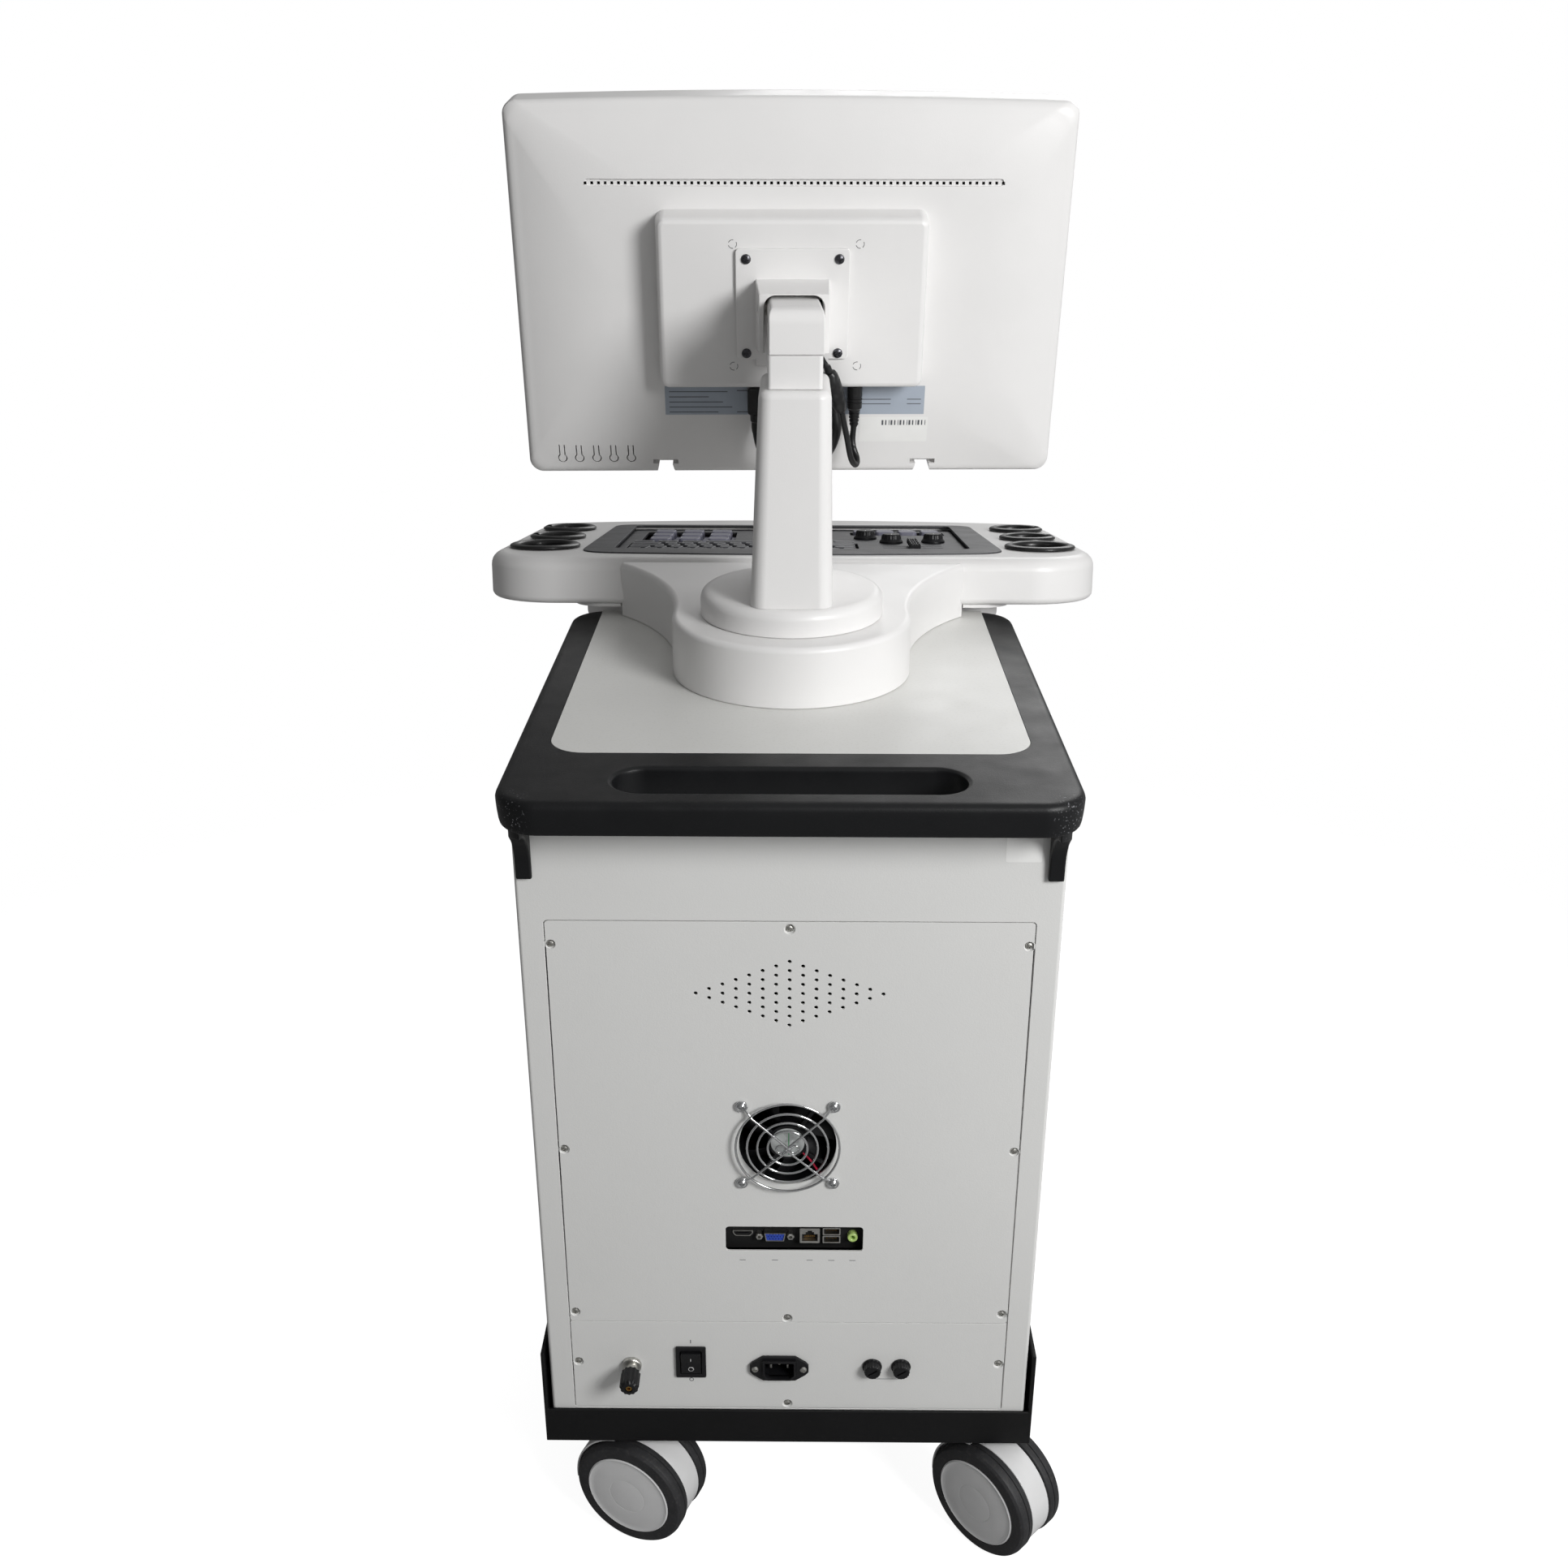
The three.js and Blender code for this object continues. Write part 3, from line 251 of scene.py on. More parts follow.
def rounded_box(x0, x1, y0, y1, radius, levels, steps=6, side=1):
    def plan(inset):
        corner = max(radius - inset, 0.15)
        return rounded_rectangle(x0 + inset, x1 - inset, y0 + inset, y1 - inset, corner, steps, side)

    return stack(plan, levels)


def prism(points, low, high):
    return stack(lambda inset: points, [(0, low), (0, high)])


def block(x0, x1, y0, y1, z0, z1):
    return prism([(x0, y0), (x1, y0), (x1, y1), (x0, y1)], z0, z1)


def turned(profile, sides=48, closed=False, wave=None):
    """A body of revolution about Z through (radius, height) pairs. A closed profile is a ring."""
    mesh = bmesh.new()
    rows = []
    for radius, height in profile:
        if radius < 1e-6:
            rows.append([mesh.verts.new((0, 0, height))])
            continue
        row = []
        for i in range(sides):
            angle = 2 * math.pi * i / sides
            reach = radius * (wave(angle, radius, height) if wave else 1)
            row.append(mesh.verts.new((reach * math.cos(angle), reach * math.sin(angle), height)))
        rows.append(row)
    pairs = list(zip(rows, rows[1:]))
    if closed:
        pairs.append((rows[-1], rows[0]))
    for lower, upper in pairs:
        for i in range(sides):
            j = (i + 1) % sides
            face = [
                lower[i % len(lower)], lower[j % len(lower)],
                upper[j % len(upper)], upper[i % len(upper)],
            ]
            corners = list(dict.fromkeys(face))
            if len(corners) > 2:
                mesh.faces.new(corners)
    return outward(mesh)


def moved(mesh, x=0, y=0, z=0, axis="z"):
    """Turns a mesh whose axis is Z to the given axis, then moves it."""
    turns = {"z": Matrix.Identity(4), "y": turn(-90, "X"), "x": turn(90, "Y")}
    bmesh.ops.transform(mesh, matrix=shift(x, y, z) @ turns[axis], verts=mesh.verts)
    return mesh


def facing(mesh):
    """Drawn in X and Y with depth along Z: stands it up in X and Z with its depth along Y."""
    for vertex in mesh.verts:
        x, y, z = vertex.co
        vertex.co = (x, z, y)
    return outward(mesh)


def sideways(mesh):
    """Drawn in X and Y with depth along Z: stands it up in Y and Z with its depth along X."""
    for vertex in mesh.verts:
        x, y, z = vertex.co
        vertex.co = (z, x, y)
    return mesh


def rod(radius, low, high, x=0, y=0, z=0, axis="z", sides=32, edge=0.0):
    profile = [(radius - inset, height) for inset, height in round_edge(low, high, edge, edge, 3)]
    return moved(turned([(0, low), *profile, (0, high)], sides), x, y, z, axis)


def merge(*meshes):
    whole = bmesh.new()
    for mesh in meshes:
        data = bpy.data.meshes.new("part")
        mesh.to_mesh(data)
        mesh.free()
        whole.from_mesh(data)
        bpy.data.meshes.remove(data)
    return whole


def scatter(template, spots):
    """Copies of a mesh at each place matrix."""
    data = bpy.data.meshes.new("template")
    template.to_mesh(data)
    template.free()
    whole = bmesh.new()
    for spot in spots:
        copy = data.copy()
        copy.transform(spot)
        whole.from_mesh(copy)
        bpy.data.meshes.remove(copy)
    bpy.data.meshes.remove(data)
    return whole


def stand_in(mesh):
    data = bpy.data.meshes.new("stand_in")
    mesh.to_mesh(data)
    mesh.free()
    helper = bpy.data.objects.new("stand_in", data)
    bpy.context.scene.collection.objects.link(helper)
    return helper


def combine(operation, base, *tools):
    """DIFFERENCE, UNION or INTERSECT of closed meshes."""
    helpers = [stand_in(mesh) for mesh in (base, *tools)]
    for helper in helpers[1:]:
        modifier = helpers[0].modifiers.new("combine", "BOOLEAN")
        modifier.operation = operation
        modifier.solver = "EXACT"
        modifier.object = helper
    result = taken_from(helpers[0])
    for helper in helpers[1:]:
        discard(helper)
    return result


def taken_from(helper):
    """The finished mesh of a helper object, which is then removed."""
    evaluated = helper.evaluated_get(bpy.context.evaluated_depsgraph_get())
    data = bpy.data.meshes.new_from_object(evaluated)
    mesh = bmesh.new()
    mesh.from_mesh(data)
    bpy.data.meshes.remove(data)
    discard(helper)
    return outward(mesh)


def discard(helper):
    data = helper.data
    bpy.data.objects.remove(helper)
    owner = bpy.data.meshes if isinstance(data, bpy.types.Mesh) else bpy.data.curves
    owner.remove(data)


def cut(base, *tools):
    return combine("DIFFERENCE", base, *tools)


def join(base, *others):
    return combine("UNION", base, *others)


def plate(outline, holes, low, high, edge=0.3):
    """A flat plate with any number of holes and softened edges."""
    curve = bpy.data.curves.new("plate", "CURVE")
    curve.dimensions = "2D"
    curve.fill_mode = "BOTH"
    for points in [outline, *(hole[::-1] for hole in holes)]:
        spline = curve.splines.new("POLY")
        spline.points.add(len(points) - 1)
        for target, (x, y) in zip(spline.points, points):
            target.co = (x, y, 0, 1)
        spline.use_cyclic_u = True
    curve.extrude = (high - low) / 2 - edge
    curve.bevel_depth = edge
    curve.bevel_resolution = 1
    curve.offset = -edge
    helper = bpy.data.objects.new("plate", curve)
    bpy.context.scene.collection.objects.link(helper)
    mesh = taken_from(helper)
    return moved(mesh, z=(low + high) / 2)


def tube(points, radius, resolution=4, radii=None, smooth=True):
    """A round cable through the points."""
    curve = bpy.data.curves.new("tube", "CURVE")
    curve.dimensions = "3D"
    curve.resolution_u = 10
    curve.bevel_depth = radius
    curve.bevel_resolution = resolution
    curve.use_fill_caps = True
    spline = curve.splines.new("BEZIER" if smooth else "POLY")
    if smooth:
        spline.bezier_points.add(len(points) - 1)
        for target, point in zip(spline.bezier_points, points):
            target.co = point
            target.handle_left_type = "AUTO"
            target.handle_right_type = "AUTO"
    else:
        spline.points.add(len(points) - 1)
        for i, (target, point) in enumerate(zip(spline.points, points)):
            target.co = (*point, 1)
            target.radius = radii[i] if radii else 1
    helper = bpy.data.objects.new("tube", curve)
    bpy.context.scene.collection.objects.link(helper)
    return taken_from(helper)


def wire_ring(x, y, z, radius, wire, sides=64):
    """A closed wire hoop facing the rear."""
    section = [(radius + px, py) for px, py in ring_points(0, 0, wire, 10)]
    return moved(turned(section, sides, closed=True), x, y, z, "y")


def ribbon(path, width):
    """The outline of a narrow band along a path."""
    left, right = [], []
    for i, point in enumerate(path):
        before = Vector(path[max(i - 1, 0)])
        after = Vector(path[min(i + 1, len(path) - 1)])
        along = (after - before).normalized()
        across = Vector((-along.y, along.x)) * width / 2
        left.append(tuple(Vector(point) + across))
        right.append(tuple(Vector(point) - across))
    return left + right[::-1]


def piece(name, mesh, place, material, slot, body=BODY, replaces=(), bevel=0.0, angle=30):
    """Puts a mesh in the scene as one visible piece on a CAD body."""
    bmesh.ops.remove_doubles(mesh, verts=mesh.verts, dist=1e-4)
    bmesh.ops.dissolve_degenerate(mesh, dist=1e-5, edges=mesh.edges)
    bmesh.ops.transform(mesh, matrix=place, verts=mesh.verts)
    data = bpy.data.meshes.new(name)
    mesh.to_mesh(data)
    mesh.free()
    data.shade_smooth()
    made = bpy.data.objects.new(name, data)
    bpy.context.scene.collection.objects.link(made)
    data.materials.append(material)
    if bevel:
        rounding = made.modifiers.new("rounded_edges", "BEVEL")
        rounding.width = bevel * MM
        rounding.segments = 2
        rounding.limit_method = "ANGLE"
        rounding.angle_limit = math.radians(angle)
        rounding.use_clamp_overlap = False
        rounding.harden_normals = True
    else:
        data.set_sharp_from_angle(angle=math.radians(angle))
    weighting = made.modifiers.new("even_shading", "WEIGHTED_NORMAL")
    weighting.keep_sharp = True
    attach(made, body)
    if replaces:
        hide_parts(*replaces)
    return made


# ---------- Materials ----------


def linear(colour):
    """A hex colour as linear RGBA."""
    channels = [((colour >> shift_bits) & 255) / 255 for shift_bits in (16, 8, 0)]
    return (*(c / 12.92 if c < 0.04045 else ((c + 0.055) / 1.055) ** 2.4 for c in channels), 1)


def node(tree, kind, inputs=None, **settings):
    made = tree.nodes.new("ShaderNode" + kind)
    for key, value in settings.items():
        setattr(made, key, value)
    for key, value in (inputs or {}).items():
        if isinstance(value, bpy.types.NodeSocket):
            tree.links.new(value, made.inputs[key])
        else:
            made.inputs[key].default_value = value
    return made


def noise(tree, place, size_mm, detail=2):
    inputs = {"Vector": place, "Scale": 1000 / size_mm, "Detail": detail}
    return node(tree, "TexNoise", inputs).outputs["Fac"]


def remap(tree, value, low, high, new_low, new_high):
    inputs = {
        "Value": value, "From Min": low, "From Max": high, "To Min": new_low, "To Max": new_high,
    }
    return node(tree, "MapRange", inputs).outputs["Result"]


def times(tree, first, second):
    return node(tree, "Math", {0: first, 1: second}, operation="MULTIPLY").outputs[0]


def mixed(tree, factor, first, second):
    return node(tree, "Mix", {0: factor, 6: first, 7: second}, data_type="RGBA").outputs[2]


def shaded(colour, factor):
    return (*(min(channel * factor, 1) for channel in colour[:3]), 1)


def worn_edges(tree, place, base, wear):
    """Mixes a wear colour in along sharp edges, broken up by noise."""
    colour, width_mm, amount = wear
    rounded = node(tree, "Bevel", {"Radius": width_mm * MM}, samples=4).outputs["Normal"]
    flat = node(tree, "NewGeometry").outputs["Normal"]
    likeness = node(tree, "VectorMath", {0: rounded, 1: flat}, operation="DOT_PRODUCT").outputs["Value"]
    edge = remap(tree, likeness, 0.97, 0.75, 0, amount)
    broken = remap(tree, noise(tree, place, 9, 5), 0.45, 0.62, 0, 1)
    return mixed(tree, times(tree, edge, broken), base, linear(colour))


def scuffed(tree, place, base, spots, size_mm):
    """Fine pale scratches in small balls round the given places."""
    mask = 0.0
    for spot in spots:
        away = node(tree, "VectorMath", {0: place, 1: spot}, operation="DISTANCE").outputs["Value"]
        near = remap(tree, away, 0.4 * size_mm * MM, size_mm * MM, 1, 0)
        mask = near if mask == 0.0 else node(tree, "Math", {0: mask, 1: near}, operation="MAXIMUM").outputs[0]
    scratches = remap(tree, noise(tree, place, 1.6, 6), 0.62, 0.7, 0, 0.7)
    return mixed(tree, times(tree, mask, scratches), base, linear(0xB9B9BE))


def finish(
    name, colour, roughness, metallic=0.0, grain=0.1, grain_mm=0.8, mottle=0.03, patch_mm=90,
    smudge=0.05, coat=0.0, shine=0.5, wear=None, scuffs=None, fleck=None, stretch=None,
):
    """A procedural surface: moulded or painted grain, uneven colour and gloss, and optional wear."""
    material = bpy.data.materials.new(name)
    material.use_nodes = True
    tree = material.node_tree
    shader = tree.nodes["Principled BSDF"]
    place = node(tree, "TexCoord").outputs["Object"]
    if stretch:
        place = node(tree, "Mapping", {"Vector": place, "Scale": stretch}).outputs["Vector"]
    base = linear(colour)
    patches = remap(tree, noise(tree, place, patch_mm, 4), 0.35, 0.65, 0, 1)
    result = mixed(tree, patches, shaded(base, 1 - mottle), shaded(base, 1 + mottle))
    if fleck:
        fleck_colour, fleck_mm, amount = fleck
        specks = remap(tree, noise(tree, place, fleck_mm, 3), 0.55, 0.66, 0, amount)
        result = mixed(tree, specks, result, linear(fleck_colour))
    if wear:
        result = worn_edges(tree, place, result, wear)
    if scuffs:
        result = scuffed(tree, place, result, *scuffs)
    tree.links.new(result, shader.inputs["Base Color"])
    gloss = noise(tree, place, 28, 5)
    tree.links.new(
        remap(tree, gloss, 0.3, 0.7, roughness - smudge, roughness + smudge), shader.inputs["Roughness"],
    )
    height = noise(tree, place, grain_mm, 3)
    bump = node(tree, "Bump", {"Height": height, "Strength": grain, "Distance": 0.0004})
    tree.links.new(bump.outputs["Normal"], shader.inputs["Normal"])
    shader.inputs["Metallic"].default_value = metallic
    shader.inputs["Specular IOR Level"].default_value = shine
    shader.inputs["Coat Weight"].default_value = coat
    shader.inputs["Coat Roughness"].default_value = 0.12
    return material


def slab_corners():
    """The two rear corners of the top frame, where it gets knocked."""
    low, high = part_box("top_frame")
    inset = 12 * MM
    middle = (low.z + high.z) / 2
    return [(side * (high.x - inset), high.y - inset, middle) for side in (-1, 1)]


COVER = finish("cover_plastic", 0xEBEAE9, 0.42, grain=0.12, grain_mm=0.9, mottle=0.012, coat=0.12)
POWDER = finish("powder_coat", 0xE1E1DF, 0.5, grain=0.2, grain_mm=1.3, mottle=0.012, patch_mm=160)
LAMINATE = finish("laminate", 0xDEDEDB, 0.4, grain=0.05, mottle=0.012, fleck=(0xB4B2A6, 2.2, 0.1))
SLAB_BLACK = finish(
    "slab_plastic", 0x0D0E10, 0.44, grain=0.3, grain_mm=0.9, mottle=0.08, patch_mm=60, smudge=0.05,
    shine=0.35, wear=(0x4A4A4D, 1.0, 0.2), scuffs=(slab_corners(), 20),
)
BLACK_PLASTIC = finish(
    "black_plastic", 0x141416, 0.4, grain=0.2, mottle=0.1, patch_mm=20, smudge=0.08, shine=0.35,
)
BLACK_STEEL = finish(
    "black_steel", 0x0F0F10, 0.5, grain=0.3, grain_mm=1.1, mottle=0.12, patch_mm=70, shine=0.25,
    wear=(0x77787A, 0.8, 0.35),
)
DARK_GREY = finish("dark_grey_plastic", 0x37383B, 0.5, grain=0.3, grain_mm=0.7, mottle=0.06, patch_mm=40)
DARK_KEYS = finish("dark_keys", 0x46474B, 0.42, grain=0.12, mottle=0.05, patch_mm=16)
LILAC = finish("lilac_keys", 0x70707F, 0.45, grain=0.12, mottle=0.04, patch_mm=18)
GLOSSY_RUBBER = finish("soft_rubber", 0x0E0E0F, 0.36, grain=0.06, mottle=0.15, patch_mm=12, coat=0.15)
TYRE = finish(
    "tyre_rubber", 0x28282A, 0.6, grain=0.4, grain_mm=1.0, mottle=0.2, patch_mm=14,
    fleck=(0x5A5651, 3.0, 0.16),
)
CASTER_SHELL = finish("caster_plastic", 0xE4E4E4, 0.4, grain=0.12, mottle=0.03, patch_mm=30, coat=0.2)
CHROME = finish("chrome_wire", 0xDADBDC, 0.14, 1.0, grain=0.04, mottle=0.05, patch_mm=6, smudge=0.06)
ZINC = finish("metal_hardware", 0xC4C3BE, 0.34, 1.0, grain=0.3, grain_mm=0.3, mottle=0.12, patch_mm=3)
DARK_STEEL = finish("dark_screws", 0x56565A, 0.32, 1.0, grain=0.2, grain_mm=0.4, mottle=0.2, patch_mm=2)
BRASS = finish("brass_core", 0xB08A4C, 0.3, 1.0, grain=0.2, grain_mm=0.4, mottle=0.15, patch_mm=3)
SUPPLY = finish(
    "supply_case", 0xAEB1B2, 0.42, 0.9, grain=0.3, grain_mm=1.0, mottle=0.08, stretch=(0.15, 1, 1),
)
BOARD = finish("circuit_board", 0x1E5A37, 0.5, grain=0.5, grain_mm=2.5, fleck=(0xB9A259, 4.0, 0.6))
BALL = finish("trackball_resin", 0x17181C, 0.1, grain=0.02, mottle=0.2, patch_mm=5, coat=0.8,
              fleck=(0x3C4152, 1.0, 0.5))
SCREEN = finish("screen", 0x0A0B0E, 0.12, grain=0.02, mottle=0.1, patch_mm=120, smudge=0.04, coat=0.6)
CABLE = finish("cable_jacket", 0x141415, 0.36, grain=0.2, grain_mm=0.8, mottle=0.12, patch_mm=12)
# Near-black: the socket backplate and key mat, and painted shade in the socket holes and behind the monitor's
# vent holes.
NEAR_BLACK_AND_SHADE = finish("near_black_and_painted_shade", 0x0B0B0B, 0.7, grain=0.1, mottle=0.1)
PORT_BLUE = finish("port_insert_blue", 0x2A46A8, 0.4, grain=0.1, mottle=0.06, patch_mm=5)
PORT_LIME = finish("port_ring_lime", 0xB9D67C, 0.4, grain=0.1, mottle=0.06, patch_mm=4)
LABEL_BLUE = finish("label_film", 0xA9B2BE, 0.35, grain=0.05, mottle=0.04, patch_mm=30)
LABEL_WHITE = finish("label_paper", 0xF0F0EE, 0.45, grain=0.06, mottle=0.01, patch_mm=12)
PRINT_GREY = finish("printed_mark", 0x55575C, 0.5, grain=0.05, mottle=0.08, patch_mm=4)
FAN_LABEL = finish("fan_label", 0xC9CCCB, 0.3, 0.3, grain=0.08, mottle=0.08, patch_mm=5)
FAN_GREEN = finish("fan_label_line", 0x2E8B50, 0.4, grain=0.05, mottle=0.08, patch_mm=4)
RED_WIRE = finish("red_wire", 0xB01838, 0.35, grain=0.08, mottle=0.1, patch_mm=5)
WHITE_MARK = finish("white_mark", 0xD8D8D8, 0.5, grain=0.05, mottle=0.05, patch_mm=4)

# ---------- Cabinet ----------


def pan_screw(radius, height):
    """A pan-head screw along Z with a cross recess."""
    dome = [(radius, 0), (radius, height * 0.25), (radius * 0.9, height * 0.6), (radius * 0.6, height * 0.9)]
    head = turned([(0, 0), *dome, (0, height)], 24)
    arm = radius * 0.62
    half = radius * 0.14
    floor = height * 0.3
    cross = [
        block(-arm, arm, -half, half, floor, height * 2),
        block(-half, half, -arm, arm, floor, height * 2),
    ]
    return cut(head, *cross)


def rear_spot(x, y, z):
    """A place on the rear of the cabinet for something drawn along Z, pointing to the rear."""
    return shift(x, y, z) @ turn(-90, "X")


def add_base_tray():
    half, sheet, rear, bottom = TRAY_HALF, 3, 3, -35
    section = [(-half, bottom), (half, bottom), (half, TRAY_SKIRT_TOP), (half - sheet, TRAY_SKIRT_TOP),
               (half - sheet, bottom + sheet), (sheet - half, bottom + sheet),
               (sheet - half, TRAY_SKIRT_TOP), (-half, TRAY_SKIRT_TOP)]
    trough = facing(prism(section, SLAB_FRONT, rear))
    walls = [block(1 - half, half - 1, y, y + 2.5, bottom + 1, -GAP) for y in (rear - 2.5, SLAB_FRONT)]
    piece("base_tray_pan", join(trough, *walls), CART, BLACK_STEEL, "black_steel", replaces=["base_tray"],
          bevel=0.7, angle=40)

    plates = []
    for name in CASTERS:
        spot = CART.inverted() @ joint_point(f"caster_{name}_swivel")
        plates.append(rod(19, bottom - 3.9, bottom - 0.1, spot.x, spot.y, edge=0.6))
    piece("caster_mount_plates", merge(*plates), CART, ZINC, "metal_hardware")


def add_cabinet_shell():
    levels = [(0, CABINET_BOTTOM), (0, CABINET_TOP)]
    outer = rounded_box(-CABINET_HALF, CABINET_HALF, -CABINET_DEPTH, 0, 3, levels, 5)
    sheet = 2.5
    hollow = block(
        sheet - CABINET_HALF, CABINET_HALF - sheet, sheet - CABINET_DEPTH, -4.4,
        CABINET_BOTTOM + sheet, CABINET_TOP - sheet,
    )
    rebate = facing(prism(rounded_rectangle(-180.3, 180.3, -0.1, 465, 3, 4), -2.3, 5))
    opening = block(-170, 170, -8, 5, 10, 454)
    front_opening = block(-165, 165, -CABINET_DEPTH - 5, 10 - CABINET_DEPTH, 15, 505)
    shell = cut(outer, hollow, rebate, opening, front_opening)
    piece("cabinet_body", shell, CART, POWDER, "powder_coat", replaces=["cabinet_shell"], bevel=0.35)


PANEL_SCREWS = [(0, 458.4), (176, 445), (-176, 445), (175.5, 263), (-175.5, 263),
                (175, 102), (-175, 102), (0.8, 96.6)]
POWER_SCREWS = [(175, 49.5), (-175, 49.5), (0.6, 5.2)]
SCREW_HOLE = 4.2


def vent_points():
    """Fifteen columns of holes in a diamond: one hole at the ends and eight in the middle."""
    column_pitch, row_pitch, middle_height = 10, 7.8, 404
    points = []
    for column in range(-7, 8):
        count = 8 - abs(column)
        for row in range(count):
            points.append((column * column_pitch, middle_height + (row - (count - 1) / 2) * row_pitch))
    return points


def add_rear_panel():
    outline = rounded_rectangle(-PANEL_HALF, PANEL_HALF, PANEL_SEAM + 0.25, PANEL_TOP, 2.5, 4)
    holes = [ring_points(x, z, 1.5, 12) for x, z in vent_points()]
    holes += [ring_points(x, z, SCREW_HOLE, 20) for x, z in PANEL_SCREWS]
    holes.append(ring_points(FAN_X, FAN_Z, 38, 64))
    holes.append(rounded_rectangle(-59.6, 50.5, 165.5, 189.5, 3, 4))
    panel = facing(plate(outline, holes, -PANEL_SHEET, 0, 0.25))
    piece("service_panel", panel, CART, POWDER, "powder_coat", replaces=["rear_panel"], angle=15)


def add_power_panel():
    outline = rounded_rectangle(-PANEL_HALF, PANEL_HALF, 0.6, PANEL_SEAM - 0.25, 0.6, 2)
    holes = [ring_points(x, z, SCREW_HOLE, 20) for x, z in POWER_SCREWS]
    holes += [ring_points(x, 46.5, 6.8, 24) for x in (-70, -94)]
    holes.append(ring_points(130.3, 47.3, 3.8, 20))
    holes.append(rounded_rectangle(70, 92, 37, 65, 1, 3))
    holes.append(rounded_rectangle(-7.5, 22.5, 34.5, 56.5, 2, 3))
    panel = facing(plate(outline, holes, -PANEL_SHEET, 0, 0.25))
    piece("mains_panel", panel, CART, POWDER, "powder_coat", replaces=["power_panel"], angle=15)


def add_panel_screws():
    spots = [rear_spot(x, -1.5, z) for x, z in PANEL_SCREWS + POWER_SCREWS]
    dimple_section = [(4.2, 1.4), (4.15, 1.2), (2.9, -0.3), (2.9, -0.6), (4.6, -0.6), (4.6, 1.3)]
    dimples = scatter(turned(dimple_section, 24, closed=True), spots)
    piece("panel_screw_dimples", dimples, CART, POWDER, "powder_coat")
    screws = scatter(pan_screw(2.7, 1.5), spots)
    piece("panel_screws", screws, CART, ZINC, "metal_hardware")


def add_front_panel():
    front = -CABINET_DEPTH - GAP
    louvres = [rounded_rectangle(-70, 70, 60 + 14 * row, 66 + 14 * row, 2.9, 5) for row in range(5)]
    outline = rounded_rectangle(-172, 172, 8, 512, 6, 5)
    panel = facing(plate(outline, louvres, front - 2, front, 0.5))
    piece("front_door", panel, CART, POWDER, "powder_coat", replaces=["front_panel"], angle=15)


def handle_slot(inset):
    return rounded_rectangle(-124 + inset, 124 - inset, -16.6 + inset, 27.3 - inset, 21.9 - inset, 12)


def top_plate_outline(inset):
    half, corner, rear = 178 - inset, 27, -45
    front = SLAB_FRONT + 1 + inset
    points = [(-half, front), (half, front)]
    points += arc(178 - corner, rear - corner, corner - inset, 0, 90, 10)
    points += arc(corner - 178, rear - corner, corner - inset, 90, 180, 10)
    return points


def add_top_frame():
    # The edge leans in below its widest line and is rolled over at the top.
    edge = [(4.0, 554.0), (2.6, 554.3), (1.8, 555.4), (1.2, 558), (0.5, 564), (0.1, 570)]
    edge += [(0.0, 573.6), (0.5, 575.6), (1.6, 577.3), (3.2, 578.4), (5.2, 578.9), (7.4, SLAB_TOP)]
    body = rounded_box(-SLAB_HALF, SLAB_HALF, SLAB_FRONT, SLAB_REAR, 32, edge, 12)
    slot = [(-3.2, 545), (-3.2, 554.0), (-0.9, 554.9), (0, 557), (0, 575.2), (-0.8, 577.4)]
    slot += [(-2.2, 578.6), (-3.8, SLAB_TOP), (-4.0, 590)]
    recess_floor = SLAB_TOP - 1.7 - GAP
    recess = stack(top_plate_outline, [(-0.4, recess_floor), (-0.4, 600)])
    frame_body = cut(body, stack(handle_slot, slot), recess)
    piece(
        "push_handle_frame", frame_body, CART, SLAB_BLACK, "black_plastic", replaces=["top_frame"], angle=28,
    )


def add_top_plate():
    levels = round_edge(SLAB_TOP - 1.7, SLAB_TOP + 0.1, 0, 0.4, 2)
    piece(
        "shelf_laminate", stack(top_plate_outline, levels), CART, LAMINATE, "laminate",
        replaces=["top_plate"],
    )


def add_handle_brackets():
    foot, reach, top = 500, 42, SLAB_BOTTOM + 0.2
    curve = [(4.5, foot)] + bow((4.5, foot + 12), (9, 544), (reach, 547), 14)
    outline = [(GAP, foot), *curve, (reach, top), (GAP, top)]
    for name, low in (("right", 185.6), ("left", -199.4)):
        footprint = rounded_box(-197, 197, -100, SLAB_REAR - 4.5, 27.5, [(0, foot - 10), (0, 570)], 12)
        bracket = combine("INTERSECT", sideways(prism(outline, low, low + 13.8)), footprint)
        piece(
            f"handle_gusset_{name}", bracket, CART, SLAB_BLACK, "black_plastic",
            replaces=[f"handle_bracket_{name}"], bevel=1.2, angle=40,
        )


def add_asset_sticker():
    paper = facing(prism(rounded_rectangle(-180.6, -154.7, 513.7, 553, 1.5, 4), 0.02, 0.15))
    piece("asset_sticker", paper, CART, LABEL_WHITE, "powder_coat")


# ---------- Connector strip ----------


